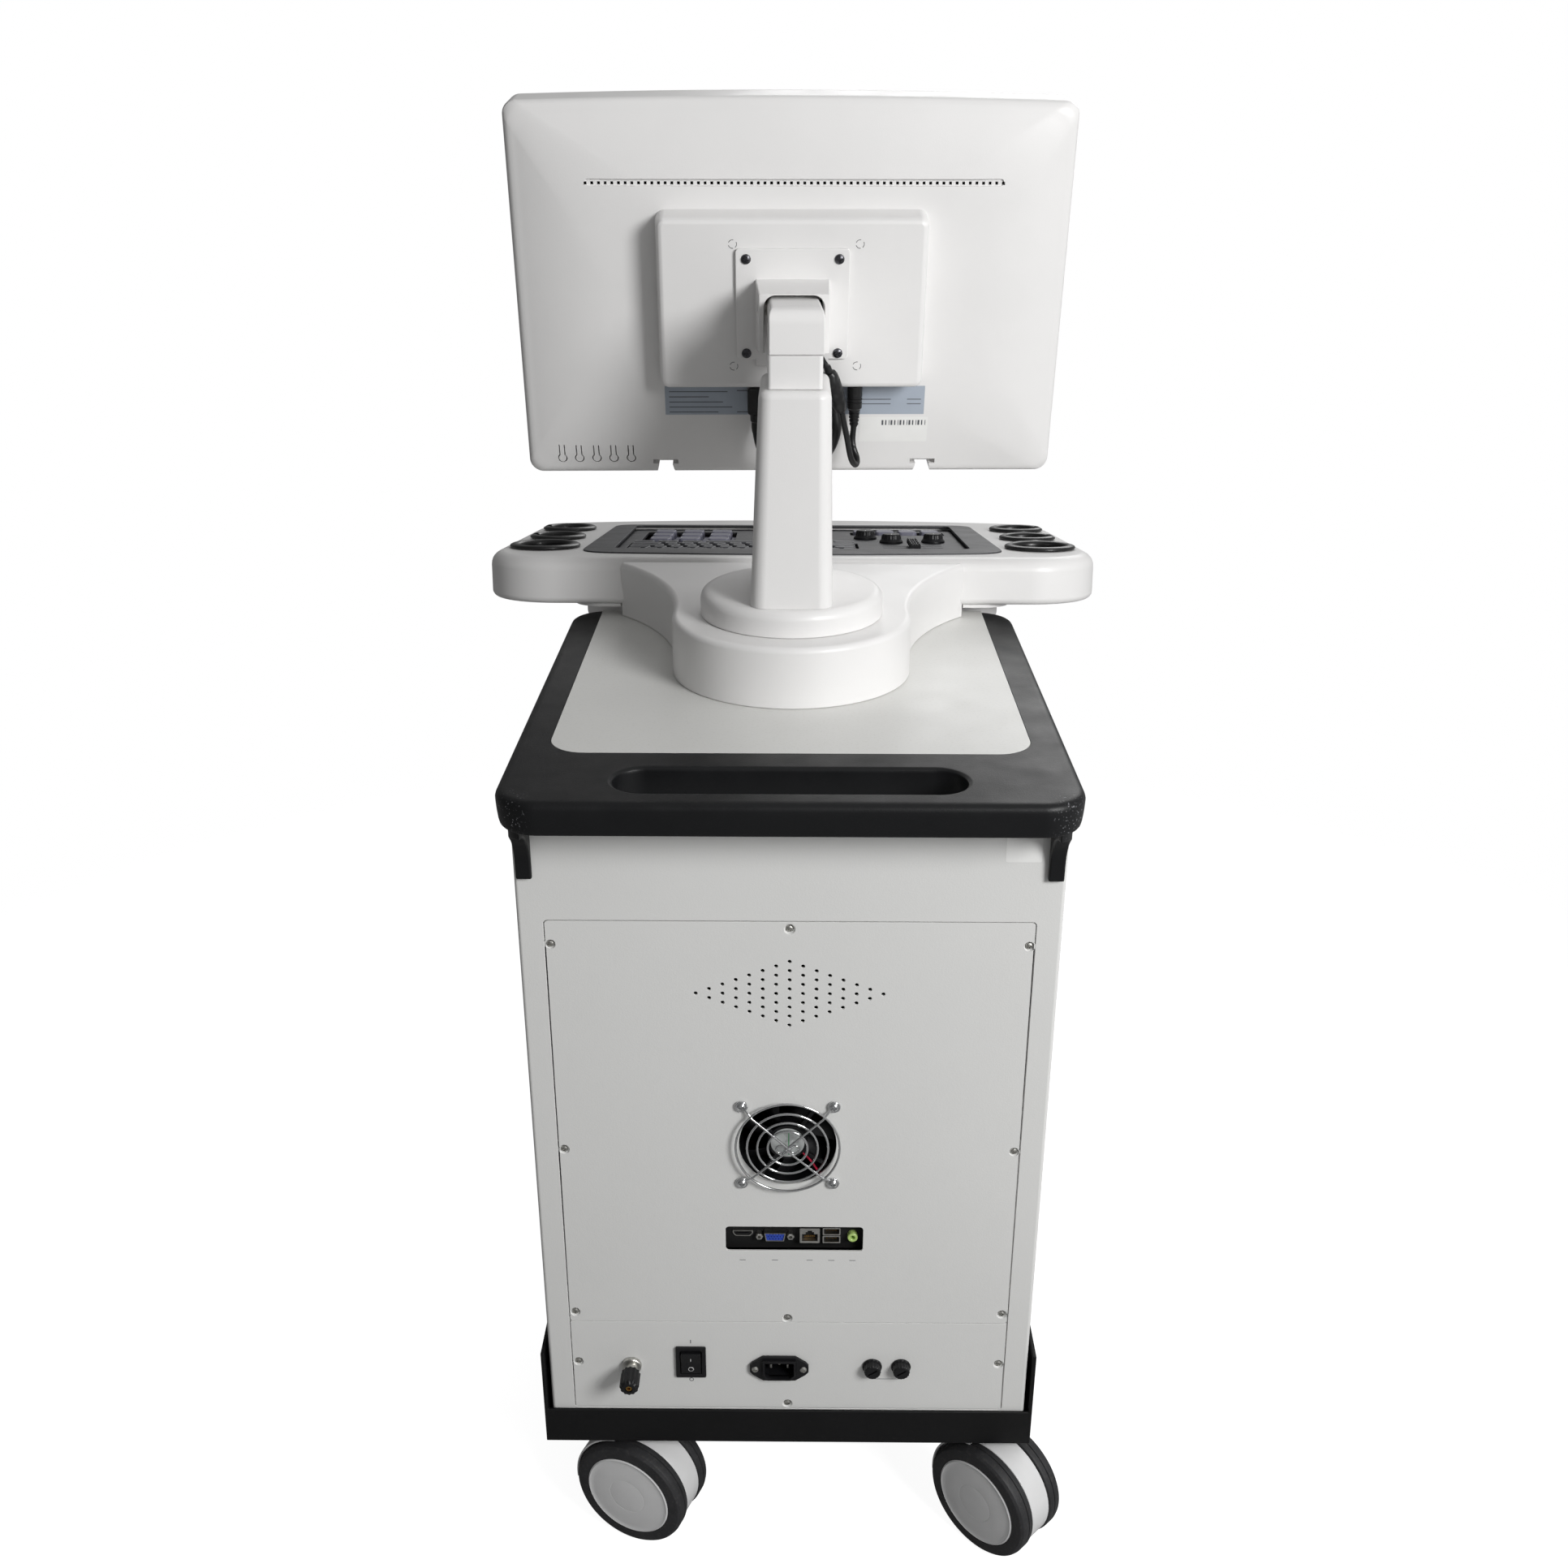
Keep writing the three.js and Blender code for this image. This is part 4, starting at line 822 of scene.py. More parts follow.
def add_connector_strip():
    """Five sockets behind the cut-out: video, analogue video, network, twin USB and audio."""
    back = facing(rounded_box(-62, 53, 161, 194, 2, round_edge(-16, -9.5, 0, 0.5, 2)))
    row = 177.5
    # Thin near-black floors in the socket holes are painted shade for the holes' depth.
    trims, socket_hole_shades = [], []

    def frame_plate(x, z, width, height, inner, corner=1.0, front=-4):
        outline = rounded_rectangle(x - width / 2, x + width / 2, z - height / 2, z + height / 2, corner, 4)
        trims.append(facing(plate(outline, [inner], -9.6, front, 0.25)))

    video_width = 7.2
    video = [(37 - video_width, row + 1), (37 - video_width, row - 1), (37 - 5.2, row - 3.2),
             (37 + 5.2, row - 3.2), (37 + video_width, row - 1), (37 + video_width, row + 1)]
    socket_hole_shades.append(facing(prism(video, -9.6, -8.9)))
    rim = facing(plate([(37 + (x - 37) * 1.13, row - 1 + (z - row + 1) * 1.3) for x, z in video], [video],
                       -9.6, -8.2, 0.15))
    tongue = facing(rounded_box(
        37 - 5.4, 37 + 5.4, row - 1.4, row - 0.4, 0.3, round_edge(-9.6, -7.6, 0, 0.2, 2),
    ))
    usb_x, network_x = -34.5, -17
    for z in (row + 4.2, row - 3.6):
        inner = rounded_rectangle(usb_x - 6.1, usb_x + 6.1, z - 2.5, z + 2.5, 0.4, 2)
        frame_plate(usb_x, z, 14.4, 7.2, inner, 0.8)
        socket_hole_shades.append(facing(prism(inner, -9.6, -9.2)))
    notch = [(-6.3, -4.6), (6.3, -4.6), (6.3, 2.2), (3.4, 2.2), (3.4, 4.2), (1.8, 4.2), (1.8, 5.6),
             (-1.8, 5.6), (-1.8, 4.2), (-3.4, 4.2), (-3.4, 2.2), (-6.3, 2.2)]
    socket = [(network_x + dx, row - 0.6 + dz) for dx, dz in notch]
    frame_plate(network_x, row, 16.2, 14.6, socket)
    socket_hole_shades.append(facing(prism(socket, -9.6, -9.2)))
    shell = [(11 - 8.6, row + 2.6), (11 - 7.3, row - 5.2), (11 + 7.3, row - 5.2), (11 + 8.6, row + 2.6)]
    insert = [(11 + (x - 11) * 0.9, row - 1.3 + (z - row + 1.3) * 0.84) for x, z in shell]
    trims.append(facing(plate(shell, [insert], -9.6, -3.4, 0.3)))
    pins = []
    for line, count in ((-3.4, 5), (-1.3, 5), (0.8, 5)):
        for i in range(count):
            offset = 0.6 if line == -1.3 else -0.6
            pins.append(ring_points(11 + (i - 2) * 2.4 + offset, row + line, 0.5, 8))
    blue = facing(plate(insert, pins, -9.6, -4.2, 0.12))
    posts = []
    for x in (11 - 12.6, 11 + 12.6):
        hexagon = turned([(0, 0), (3.1, 0), (3.1, 4.6), (2.7, 5), (1.5, 5), (1.5, 2), (0, 2)], 6)
        posts.append(moved(hexagon, x, -9.5, row - 2, "y"))
    jack_ring = [(1.8, -2), (4.1, -2), (4.1, 3.2), (3.6, 3.7), (2.3, 3.7), (1.8, 3.2)]
    jack = moved(turned(jack_ring, 32, closed=True), -51.5, -8, row - 2.2, "y")
    socket_hole_shades.append(rod(1.9, 0, 0.3, -51.5, -9.6, row - 2.2, "y", 16))
    piece("socket_backplate", back, CART, NEAR_BLACK_AND_SHADE, "black_plastic", replaces=["io_module"])
    piece("socket_shells", merge(*trims, *posts), CART, ZINC, "metal_hardware", angle=35)
    piece("socket_hole_painted_shade", merge(*socket_hole_shades), CART, NEAR_BLACK_AND_SHADE, "black_plastic")
    piece("video_socket_rim", rim, CART, ZINC, "metal_hardware")
    piece("video_socket_tongue", tongue, CART, BLACK_PLASTIC, "black_plastic")
    piece("analogue_video_insert", blue, CART, PORT_BLUE, "black_plastic")
    piece("audio_jack_ring", jack, CART, PORT_LIME, "black_plastic")
    contacts = [block(network_x - 4 + i * 1.1, network_x - 3.5 + i * 1.1, -9.3, -8.4, row - 4.6, row - 3)
                for i in range(8)]
    contacts += [block(usb_x - 4 + i * 2.4, usb_x - 3 + i * 2.4, -9.3, -6, z - 0.3, z + 0.1)
                 for i in range(4) for z in (row + 4.2, row - 3.6)]
    piece("socket_contacts", merge(*contacts), CART, BRASS, "metal_hardware")


# ---------- Cooling fan ----------


def add_fan_housing():
    rear, front, half = -PANEL_SHEET - GAP, -27.1, 40
    outline = rounded_rectangle(FAN_X - half, FAN_X + half, FAN_Z - half, FAN_Z + half, 5, 5)
    duct = ring_points(FAN_X, FAN_Z, 38, 64)
    bolts = [ring_points(FAN_X + sx * FAN_SCREW, FAN_Z + sz * FAN_SCREW, 2, 12)
             for sx in (-1, 1) for sz in (-1, 1)]
    frame_body = facing(plate(outline, [duct, *bolts], front, rear, 0.4))
    motor = rod(15.5, rear - 3, rear - 0.2, FAN_X, 0, FAN_Z, "y", 48, 0.6)
    struts = []
    for angle in (35, 125, 215, 305):
        strut = rounded_box(14, 38.5, -1.6, 1.6, 0.5, round_edge(rear - 3, rear - 0.6, 0.4, 0.6, 2), 2)
        bmesh.ops.rotate(strut, matrix=Matrix.Rotation(math.radians(angle), 3, "Z"), verts=strut.verts)
        bmesh.ops.translate(strut, vec=(FAN_X, FAN_Z, 0), verts=strut.verts)
        struts.append(facing(strut))
    housing = merge(frame_body, motor, *struts)
    piece("fan_frame", housing, CART, BLACK_PLASTIC, "black_plastic", replaces=["fan_housing"])

    label = rod(13.2, rear - 0.2, rear - 0.05, FAN_X, 0, FAN_Z, "y", 48)
    piece("fan_motor_label", label, CART, FAN_LABEL, "black_plastic")
    stripe = facing(prism(rounded_rectangle(FAN_X - 1.2, FAN_X - 0.5, FAN_Z - 11.5, FAN_Z + 11.5, 0.2, 2),
                          rear - 0.05, rear - 0.01))
    piece("fan_label_stripe", stripe, CART, FAN_GREEN, "black_plastic")
    lead = [(FAN_X - 12, rear - 1, FAN_Z - 10), (FAN_X - 19, rear - 1.4, FAN_Z - 19),
            (FAN_X - 24, rear - 2.5, FAN_Z - 28), (FAN_X - 27, rear - 5, FAN_Z - 32)]
    piece("fan_lead", tube(lead, 0.8, 2), CART, RED_WIRE, "cable_jacket")


def fan_blade(start, hub_y):
    """One swept, pitched blade about the fan's axis, from the hub to the tip."""
    rings = []
    for step in range(7):
        share = step / 6
        radius = 14.5 + 22 * share
        chord = 15 + 7 * share
        pitch = math.radians(52 - 20 * share)
        sweep = math.radians(start + 16 * share)
        upper, lower = [], []
        for i in range(7):
            s = i / 6 - 0.5
            camber = 1.6 * (1 - 4 * s * s)
            for side, line in ((0.6, upper), (-0.6, lower)):
                thick = side * (1 - 3.2 * s * s)
                along = s * chord * math.cos(pitch) - (camber + thick) * math.sin(pitch)
                axial = s * chord * math.sin(pitch) + (camber + thick) * math.cos(pitch)
                angle = sweep + along / radius
                line.append((radius * math.cos(angle), hub_y + axial, radius * math.sin(angle)))
        rings.append(upper + lower[::-1])
    return loft(rings)


def add_fan_rotor():
    front = -27.1
    hub_profile = [(0, 1.5), (14, 1.5), (15.5, 3), (15.5, 19.5), (14.8, 20.4), (0, 20.4)]
    hub = moved(turned(hub_profile), 0, front, 0, "y")
    blades = [fan_blade(360 / 7 * i, front + 11.2) for i in range(7)]
    rotor = merge(hub, *blades)
    bmesh.ops.translate(rotor, vec=(FAN_X, 0, FAN_Z), verts=rotor.verts)
    piece(
        "fan_impeller", rotor, CART, BLACK_PLASTIC, "black_plastic", body="fan_rotor", replaces=["fan_rotor"],
        angle=40,
    )


def add_fan_guard():
    wire = 0.95
    proud = 5.2
    rings = [wire_ring(FAN_X, proud, FAN_Z, radius, wire) for radius in (40.5, 31.5, 23.5, 15.5)]
    rings += [wire_ring(FAN_X + side * 5.5, proud, FAN_Z - 1, 3.4, wire * 0.8, 32) for side in (-1, 1)]
    for side in (-1, 1):
        bend = (FAN_X - side * 1.5, proud + 2 * wire, FAN_Z)
        for end in (-1, 1):
            screw_x = FAN_X + side * FAN_SCREW
            screw_z = FAN_Z + end * FAN_SCREW
            foot = (screw_x - side * 3.2, 2.0, screw_z - end * 3.2)
            knee = (screw_x - side * 8.5, proud + wire, screw_z - end * 8.5)
            rings.append(tube([foot, knee, bend], wire, 3, smooth=False))
            rings.append(wire_ring(screw_x, 1.6, screw_z, 4.1, wire, 32))
    piece("fan_finger_guard", merge(*rings), CART, CHROME, "chrome_wire", replaces=["fan_guard"], angle=50)
    spots = [
        rear_spot(FAN_X + sx * FAN_SCREW, 0.2, FAN_Z + sz * FAN_SCREW)
        for sx in (-1, 1)
        for sz in (-1, 1)
    ]
    washers = scatter(turned([(1, 0), (3.4, 0), (3.4, 0.8), (1, 0.8)], 24, closed=True), spots)
    screws = scatter(pan_screw(3.6, 3.2), [spot @ shift(0, 0, 0.7) for spot in spots])
    piece("fan_screws", merge(screws, washers), CART, CHROME, "metal_hardware")


# ---------- Mains side ----------
SWITCH_X = 81
SWITCH_Z = 51


def add_power_switch():
    outline = rounded_rectangle(SWITCH_X - 12.6, SWITCH_X + 12.6, SWITCH_Z - 16, SWITCH_Z + 16, 1.2, 4)
    well = rounded_rectangle(SWITCH_X - 8.9, SWITCH_X + 8.9, SWITCH_Z - 11.8, SWITCH_Z + 11.8, 0.6, 3)
    bezel = facing(plate(outline, [well], GAP, 2.6, 0.7))
    housing_outline = rounded_rectangle(
        SWITCH_X - 10.5, SWITCH_X + 10.5, SWITCH_Z - 13.5, SWITCH_Z + 13.5, 1, 3,
    )
    housing = facing(plate(housing_outline, [well], -17, GAP, 0.3))
    floor = facing(prism(well, -12, -11))
    body = merge(bezel, housing, floor)
    piece("power_switch_bezel", body, CART, BLACK_PLASTIC, "black_plastic", replaces=["switch_body"])


def rocker_face(z):
    """How far the rocker's two-slope face stands out at a height above its pivot."""
    return 3.2 + (1.9 if z > 0 else 1.1) * z / 10.5 + (0.9 if z < 0 else -0.1) * (z / 10.5) ** 2


def add_power_rocker():
    heights = [-11 + 22 * i / 16 for i in range(17)]
    face = [(rocker_face(z), SWITCH_Z + z) for z in heights]
    outline = [(-8, SWITCH_Z - 4), (-1.5, SWITCH_Z - 11), *face, (-0.5, SWITCH_Z + 11), (-8, SWITCH_Z + 4)]
    rocker = sideways(prism(outline, SWITCH_X - 8.3, SWITCH_X + 8.3))
    piece(
        "power_rocker_cap", rocker, CART, BLACK_PLASTIC, "black_plastic", body="power_rocker",
        replaces=["power_rocker"], bevel=0.5, angle=35,
    )
    low_mark = SWITCH_Z - 6.4
    lean = -math.degrees(math.atan2(0.4, 4))
    circle_mark = turned([(2.1 + px, py) for px, py in ring_points(0, 0, 0.28, 8)], 32, closed=True)
    bar_mark = rounded_box(-0.28, 0.28, -1.3, 1.3, 0.2, [(0, 0), (0, 0.3)], 2)
    placed_circle = facing_mark(circle_mark, low_mark, lean)
    placed_bar = facing_mark(bar_mark, SWITCH_Z + 4.6, 6)
    marks = merge(placed_circle, placed_bar)
    piece("power_rocker_marks", marks, CART, WHITE_MARK, "black_plastic", body="power_rocker")


def facing_mark(mesh, z, lean):
    """Lays a mark drawn in X and Y on the rocker's face."""
    spot = shift(SWITCH_X, rocker_face(z - SWITCH_Z), z) @ turn(-90 + lean, "X")
    bmesh.ops.transform(mesh, matrix=spot, verts=mesh.verts)
    return mesh


def add_panel_marks():
    """Plain printed symbols beside the controls: on, off and a bar under each connector."""
    marks = []
    above, below = SWITCH_Z + 20.5, SWITCH_Z - 20
    marks.append(facing(prism(
        rounded_rectangle(SWITCH_X - 0.35, SWITCH_X + 0.35, above - 1.8, above + 1.8, 0.1, 2), 0.01, 0.05,
    )))
    outer = ring_points(SWITCH_X, below, 1.9, 32)
    inner = ring_points(SWITCH_X, below, 1.3, 32)
    marks.append(facing(plate(outer, [inner], 0.01, 0.06, 0.01)))
    for x in (37, 11, -17, -34.5, -51.5):
        marks.append(facing(prism(rounded_rectangle(x - 2.5, x + 2.5, 156.2, 156.7, 0.2, 2), 0.01, 0.05)))
    marks.append(facing(prism(rounded_rectangle(-95, -69, 32.6, 33.1, 0.2, 2), 0.01, 0.05)))
    piece("printed_panel_marks", merge(*marks), CART, PRINT_GREY, "powder_coat")


def add_mains_inlet():
    x, z = 7.5, 45.5
    flange = [(-24.5, -3.5), (-22, -6.5), (-13.5, -12.5), (13.5, -12.5), (22, -6.5), (24.5, -3.5),
              (24.5, 3.5), (22, 6.5), (13.5, 12.5), (-13.5, 12.5), (-22, 6.5), (-24.5, 3.5)]
    outline = [(x + dx, z + dz) for dx, dz in flange]
    socket = [(-12, -8.2), (12, -8.2), (12, 4.6), (8.4, 8.2), (-8.4, 8.2), (-12, 4.6)]
    mouth = [(x + dx, z - dz) for dx, dz in socket]
    rim = facing(plate(outline, [mouth], GAP, 3.4, 0.9))
    walls = [(x + dx * 1.15, z - dz * 1.2) for dx, dz in socket]
    collar = facing(plate(walls, [mouth], -24, 6.2, 0.6))
    back = facing(prism(mouth, -17, -16))
    piece("mains_socket", merge(rim, collar, back), CART, BLACK_PLASTIC, "black_plastic",
          replaces=["mains_inlet"], angle=35)
    pins = [rounded_box(x + dx - 1, x + dx + 1, z + dz - 2, z + dz + 2, 0.4,
                        round_edge(-16, -1.5, 0, 0.7, 2), 2)
            for dx, dz in ((-7, -1.5), (0, 2), (7, -1.5))]
    piece("mains_socket_pins", merge(*(facing(pin) for pin in pins)), CART, ZINC, "metal_hardware")
    spots = [rear_spot(x + side * 20, 3.2, z) for side in (-1, 1)]
    piece("mains_socket_screws", scatter(pan_screw(2.9, 1.8), spots), CART, ZINC, "metal_hardware")


def add_fuse_holders():
    for name, x in (("right", -70), ("left", -94)):
        ribs = lambda angle, radius, height: 1 + (0.035 * math.cos(16 * angle) if height > 1 else 0)
        profile = [(0, -26), (5.8, -26), (6.0, -25.4), (6.0, GAP), (8.1, GAP), (8.2, 1.0), (7.9, 1.6),
                   (6.9, 2.0), (6.7, 7.4), (6.1, 8.2), (0, 8.3)]
        body = moved(turned(profile, 96, wave=ribs), x, 0, 46.5, "y")
        slot = block(-4.4, 4.4, 6.9, 12, -0.75, 0.75)
        bmesh.ops.transform(slot, matrix=shift(x, 0, 46.5) @ turn(35, "Y"), verts=slot.verts)
        piece(f"fuse_cap_{name}", cut(body, slot), CART, BLACK_PLASTIC, "black_plastic",
              replaces=[f"fuse_holder_{name}"])


def add_ground_terminal():
    x, z = 130.3, 47.3
    flats = [(0, -12), (3, -12), (3, GAP), (7.6, GAP), (8, 0.8), (8, 3.6), (7.4, 4.2), (5.2, 4.4),
             (5.2, 10.4),
             (0, 10.4)]
    piece("ground_post_base", moved(turned(flats, 48), x, 0, z, "y"), CART, ZINC, "metal_hardware",
          replaces=["ground_terminal"])
    knurl = lambda angle, radius, height: 1 + (0.06 * math.cos(12 * angle) if radius > 6 else 0)
    cap = [(2.6, 10.6), (6.6, 10.6), (7.6, 11.4), (7.6, 26), (6.8, 27.4), (5.4, 28.6), (3.1, 28.8),
           (3.0, 26.6)]
    piece("ground_post_cap", moved(turned(cap, 120, closed=True, wave=knurl), x, 0, z, "y"), CART,
          BLACK_PLASTIC, "black_plastic")
    core = turned([(0, 20), (2.8, 20), (2.8, 27.6), (2.4, 28), (1.3, 28), (1.1, 25), (0, 25)], 32)
    piece("ground_post_core", moved(core, x, 0, z, "y"), CART, BRASS, "metal_hardware")


def add_inner_electronics():
    for name, material, slot in (
        ("power_supply", SUPPLY, "supply_case"),
        ("main_board", BOARD, "circuit_board"),
    ):
        inner = frame["nodes"][name]
        inner.data.materials.clear()
        inner.data.materials.append(material)

# ---------- Console ----------


def console_outline(inset):
    """The console's plan: straight rear, large rear corners and a crowned front."""
    rear_half, front_half, corner, side, depth = 220, 281.5, 68.5, -270, 380
    front_side = 350 - inset
    points = arc(-rear_half, -corner, corner - inset, 90, 180, 14)
    points.append((inset - front_half, side))
    points += bow(points[-1], (inset - front_half + 4, 10 - front_side), (-228, -front_side), 10)
    points += bow(points[-1], (-120, inset - depth), (0, inset - depth), 12)
    points += bow(points[-1], (120, inset - depth), (228, -front_side), 12)
    points += bow(points[-1], (front_half - inset - 4, 10 - front_side), (front_half - inset, side), 10)
    return points + arc(rear_half, -corner, corner - inset, 0, 90, 14)


def neck_outline(inset):
    """The neck's plan: a round lobe under the column that flares out to the console."""
    flare_x, flare_y, lobe_radius, flare_radius, end_y = 304.9, -243, 99, 206, -387
    reach = math.sqrt(flare_radius**2 - (end_y - flare_y) ** 2)
    end_angle = math.degrees(math.atan2(end_y - flare_y, -reach))
    lobe_angle = math.degrees(math.atan2(flare_y - DISC_Y, flare_x))
    flare = arc(flare_x, flare_y, flare_radius + inset, end_angle, -180 + lobe_angle, 24)
    lobe = arc(0, DISC_Y, lobe_radius - inset, lobe_angle, 180 - lobe_angle, 48)
    other_flare = [(-x, y) for x, y in reversed(flare)]
    inside = CONSOLE_REAR - 12
    return [(-flare[0][0], inside), (flare[0][0], inside), *flare, *lobe[1:-1], *other_flare]


def bezel_outline(margin):
    """The dark frame round the keys, with a bowed rear edge."""
    rear_half, front_half = 200 + margin, 194 + margin
    rear, front, corner, rise = margin - 22, -300 - margin, 22, 20
    points = [(-rear_half, rear - rise - corner), (-front_half, front + corner)]
    points += bow(points[-1], (-front_half, front), (corner - front_half, front), 8)
    points.append((front_half - corner, front))
    points += bow(points[-1], (front_half, front), (front_half, front + corner), 8)
    points.append((rear_half, rear - rise - corner))
    shoulder = (rear_half - corner - 6, rear - rise + 9)
    points += bow(points[-1], (rear_half, rear - rise + 4), shoulder, 8)
    points += bow(shoulder, (80, rear), (0, rear), 12)
    points += bow(points[-1], (-80, rear), (-shoulder[0], shoulder[1]), 12)
    return points + bow(points[-1], (-rear_half, rear - rise + 4), points[0], 8)[:-1]


def cup_bores(height):
    return [
        rod(bore + 3 + GAP, height - 20, height + 20, side * HOLDER_X, y, sides=64)
        for side in (-1, 1) for _, _, bore, y, _ in HOLDERS
    ]


def add_console_shells():
    wall, lip, edge = 3.5, 8.5, 13
    outer = stack(console_outline, round_edge(-CONSOLE_THICKNESS, 0, 6, edge, 7))
    hollow_levels = [(lip, -60), (lip, -38), (wall, -34)]
    hollow_levels += [
        (wall + inset, height) for inset, height in round_edge(-30, -wall, 0, edge - wall, 5)[1:]
    ]
    hollow = stack(console_outline, hollow_levels)
    pocket = stack(lambda inset: bezel_outline(GAP), [(0, -1.5), (0, 6)])
    window = block(-176, 176, -296, -62, -20, 5)
    tray = cut(outer, hollow, pocket, window, *cup_bores(0))
    tilt = CART.inverted() @ CONSOLE
    bmesh.ops.transform(tray, matrix=tilt, verts=tray.verts)

    neck = stack(neck_outline, round_edge(NECK_SEAT, NECK_TOP, 1.2, 5, 5))
    cable_well = rod(90, NECK_SEAT - 5, NECK_TOP - 9, 0, DISC_Y)
    passage = block(-85, 85, -389, DISC_Y, NECK_SEAT - 5, NECK_TOP - 9)
    shell = join(tray, cut(neck, cable_well, passage))
    piece(
        "console_top_shell", shell, CART, COVER, "cover_plastic",
        replaces=["console_upper_shell"], angle=24,
    )

    bottom = -CONSOLE_THICKNESS
    cover = stack(console_outline, [(lip + GAP, bottom), (lip + GAP, bottom + 2.5)])
    flange = rounded_box(-204, 204, -338, -6, 30, [(0, bottom - 3.3), (0, bottom - GAP)], 8)
    pan = rounded_box(-200, 200, -322, -52, 30, round_edge(bottom - 24, bottom + 1, 7, 0, 4), 8)
    inside = rounded_box(-190, 190, -312, -62, 20, [(0, bottom - 20), (0, bottom + 10)], 8)
    notch = block(-159, 159, -20, 5, bottom - 10, bottom + 5)
    vents = [
        rounded_box(x - 30, x + 30, y - 2.2, y + 2.2, 2.1, [(0, bottom - 30), (0, bottom - 10)], 4)
        for x in (-110, 110) for y in range(-250, -110, 14)
    ]
    body = cut(join(cover, flange, pan), inside, notch, *cup_bores(bottom), merge(*vents))
    piece("console_pan", body, CONSOLE, COVER, "cover_plastic", replaces=["console_lower_shell"], angle=28)


def add_keyboard():
    rim = plate(bezel_outline(0), [rounded_rectangle(-171, 171, -290, -68, 8)], -1.2, 1.3, 0.6)
    piece("control_surround", rim, CONSOLE, DARK_GREY, "dark_grey_plastic", replaces=["keyboard_bezel"])

    deck_bottom, key_floor = DECK_TOP - 3, DECK_TOP - 6
    mat_top = DECK_TOP - 5
    mat_bottom = mat_top - 2.5
    slots = [(-120, SLIDER_Y + SLIDER_PITCH * i) for i in range(4)]
    openings = [
        rounded_rectangle(-66, 164, -160, -76, 2, 3), rounded_rectangle(60, 156, -268, -168, 2, 3),
        rounded_rectangle(-162, -62, -270, -240, 2, 3), ring_points(0, -222, 19.9, 48),
        *(rounded_rectangle(x - 30, x + 30, y - 1.7, y + 1.7, 1.6, 4) for x, y in slots),
    ]
    deck = plate(rounded_rectangle(-184, 184, -302, -50, 6), openings, deck_bottom, DECK_TOP, 0.5)
    piece("key_deck", deck, CONSOLE, DARK_GREY, "dark_grey_plastic", replaces=["control_deck"])

    def keycap(x0, x1, y0, y1, corner=4.2):
        levels = [
            (0, key_floor), (0, -3.2), (0.4, -1.6),
            (0.8, KEY_TOP - 0.3), (1.5, KEY_TOP), (2.6, KEY_TOP - 0.4),
        ]
        return rounded_box(x0, x1, y0, y1, corner, levels, 4)

    unit = 226 / 14
    rows = [
        [1.5, 1.5, 1.5, 5, 1.5, 1.5, 1.5], [2, *[1] * 10, 2], [1.75, *[1] * 10, 2.25],
        [1.5, *[1] * 11, 1.5], [1] * 14,
    ]
    caps = []
    for row, widths in enumerate(rows):
        x, y = -64.0, -158 + 16 * row
        for width in widths:
            caps.append(keycap(x + 1.3, x + width * unit - 1.3, y + 0.4, y + 13.3))
            x += width * unit
    mat = rounded_box(-64, 162, -158, -80, 2, [(0, mat_bottom), (0, mat_top)], 3)
    piece("letter_key_mat", mat, CONSOLE, NEAR_BLACK_AND_SHADE, "dark_grey_plastic", body="alpha_keys")
    piece("letter_keycaps", merge(*caps), CONSOLE, DARK_KEYS, "dark_grey_plastic",
          body="alpha_keys", replaces=["alpha_keys"])

    caps = [keycap(x - 11, x + 11, y - 12, y + 12) for x in (76, 106, 136) for y in (-253, -218, -183)]
    caps += [keycap(x - 10, x + 10, -267, -243) for x in (-75, -99, -123, -147)]
    mats = [
        rounded_box(62, 152, -267, -170, 2, [(0, mat_bottom), (0, mat_top)], 3),
        rounded_box(-160, 63, -267, -250, 2, [(0, mat_bottom + 0.05), (0, mat_top - 0.05)], 3),
    ]
    piece("round_function_keycaps", merge(*mats, *caps), CONSOLE, LILAC, "lilac_keys",
          body="function_keys", replaces=["function_keys"])


KNOB_SPOTS = ((-76, -205), (-101, -168), (-144, -172))
SLIDER_Y = -136
SLIDER_PITCH = 14.5


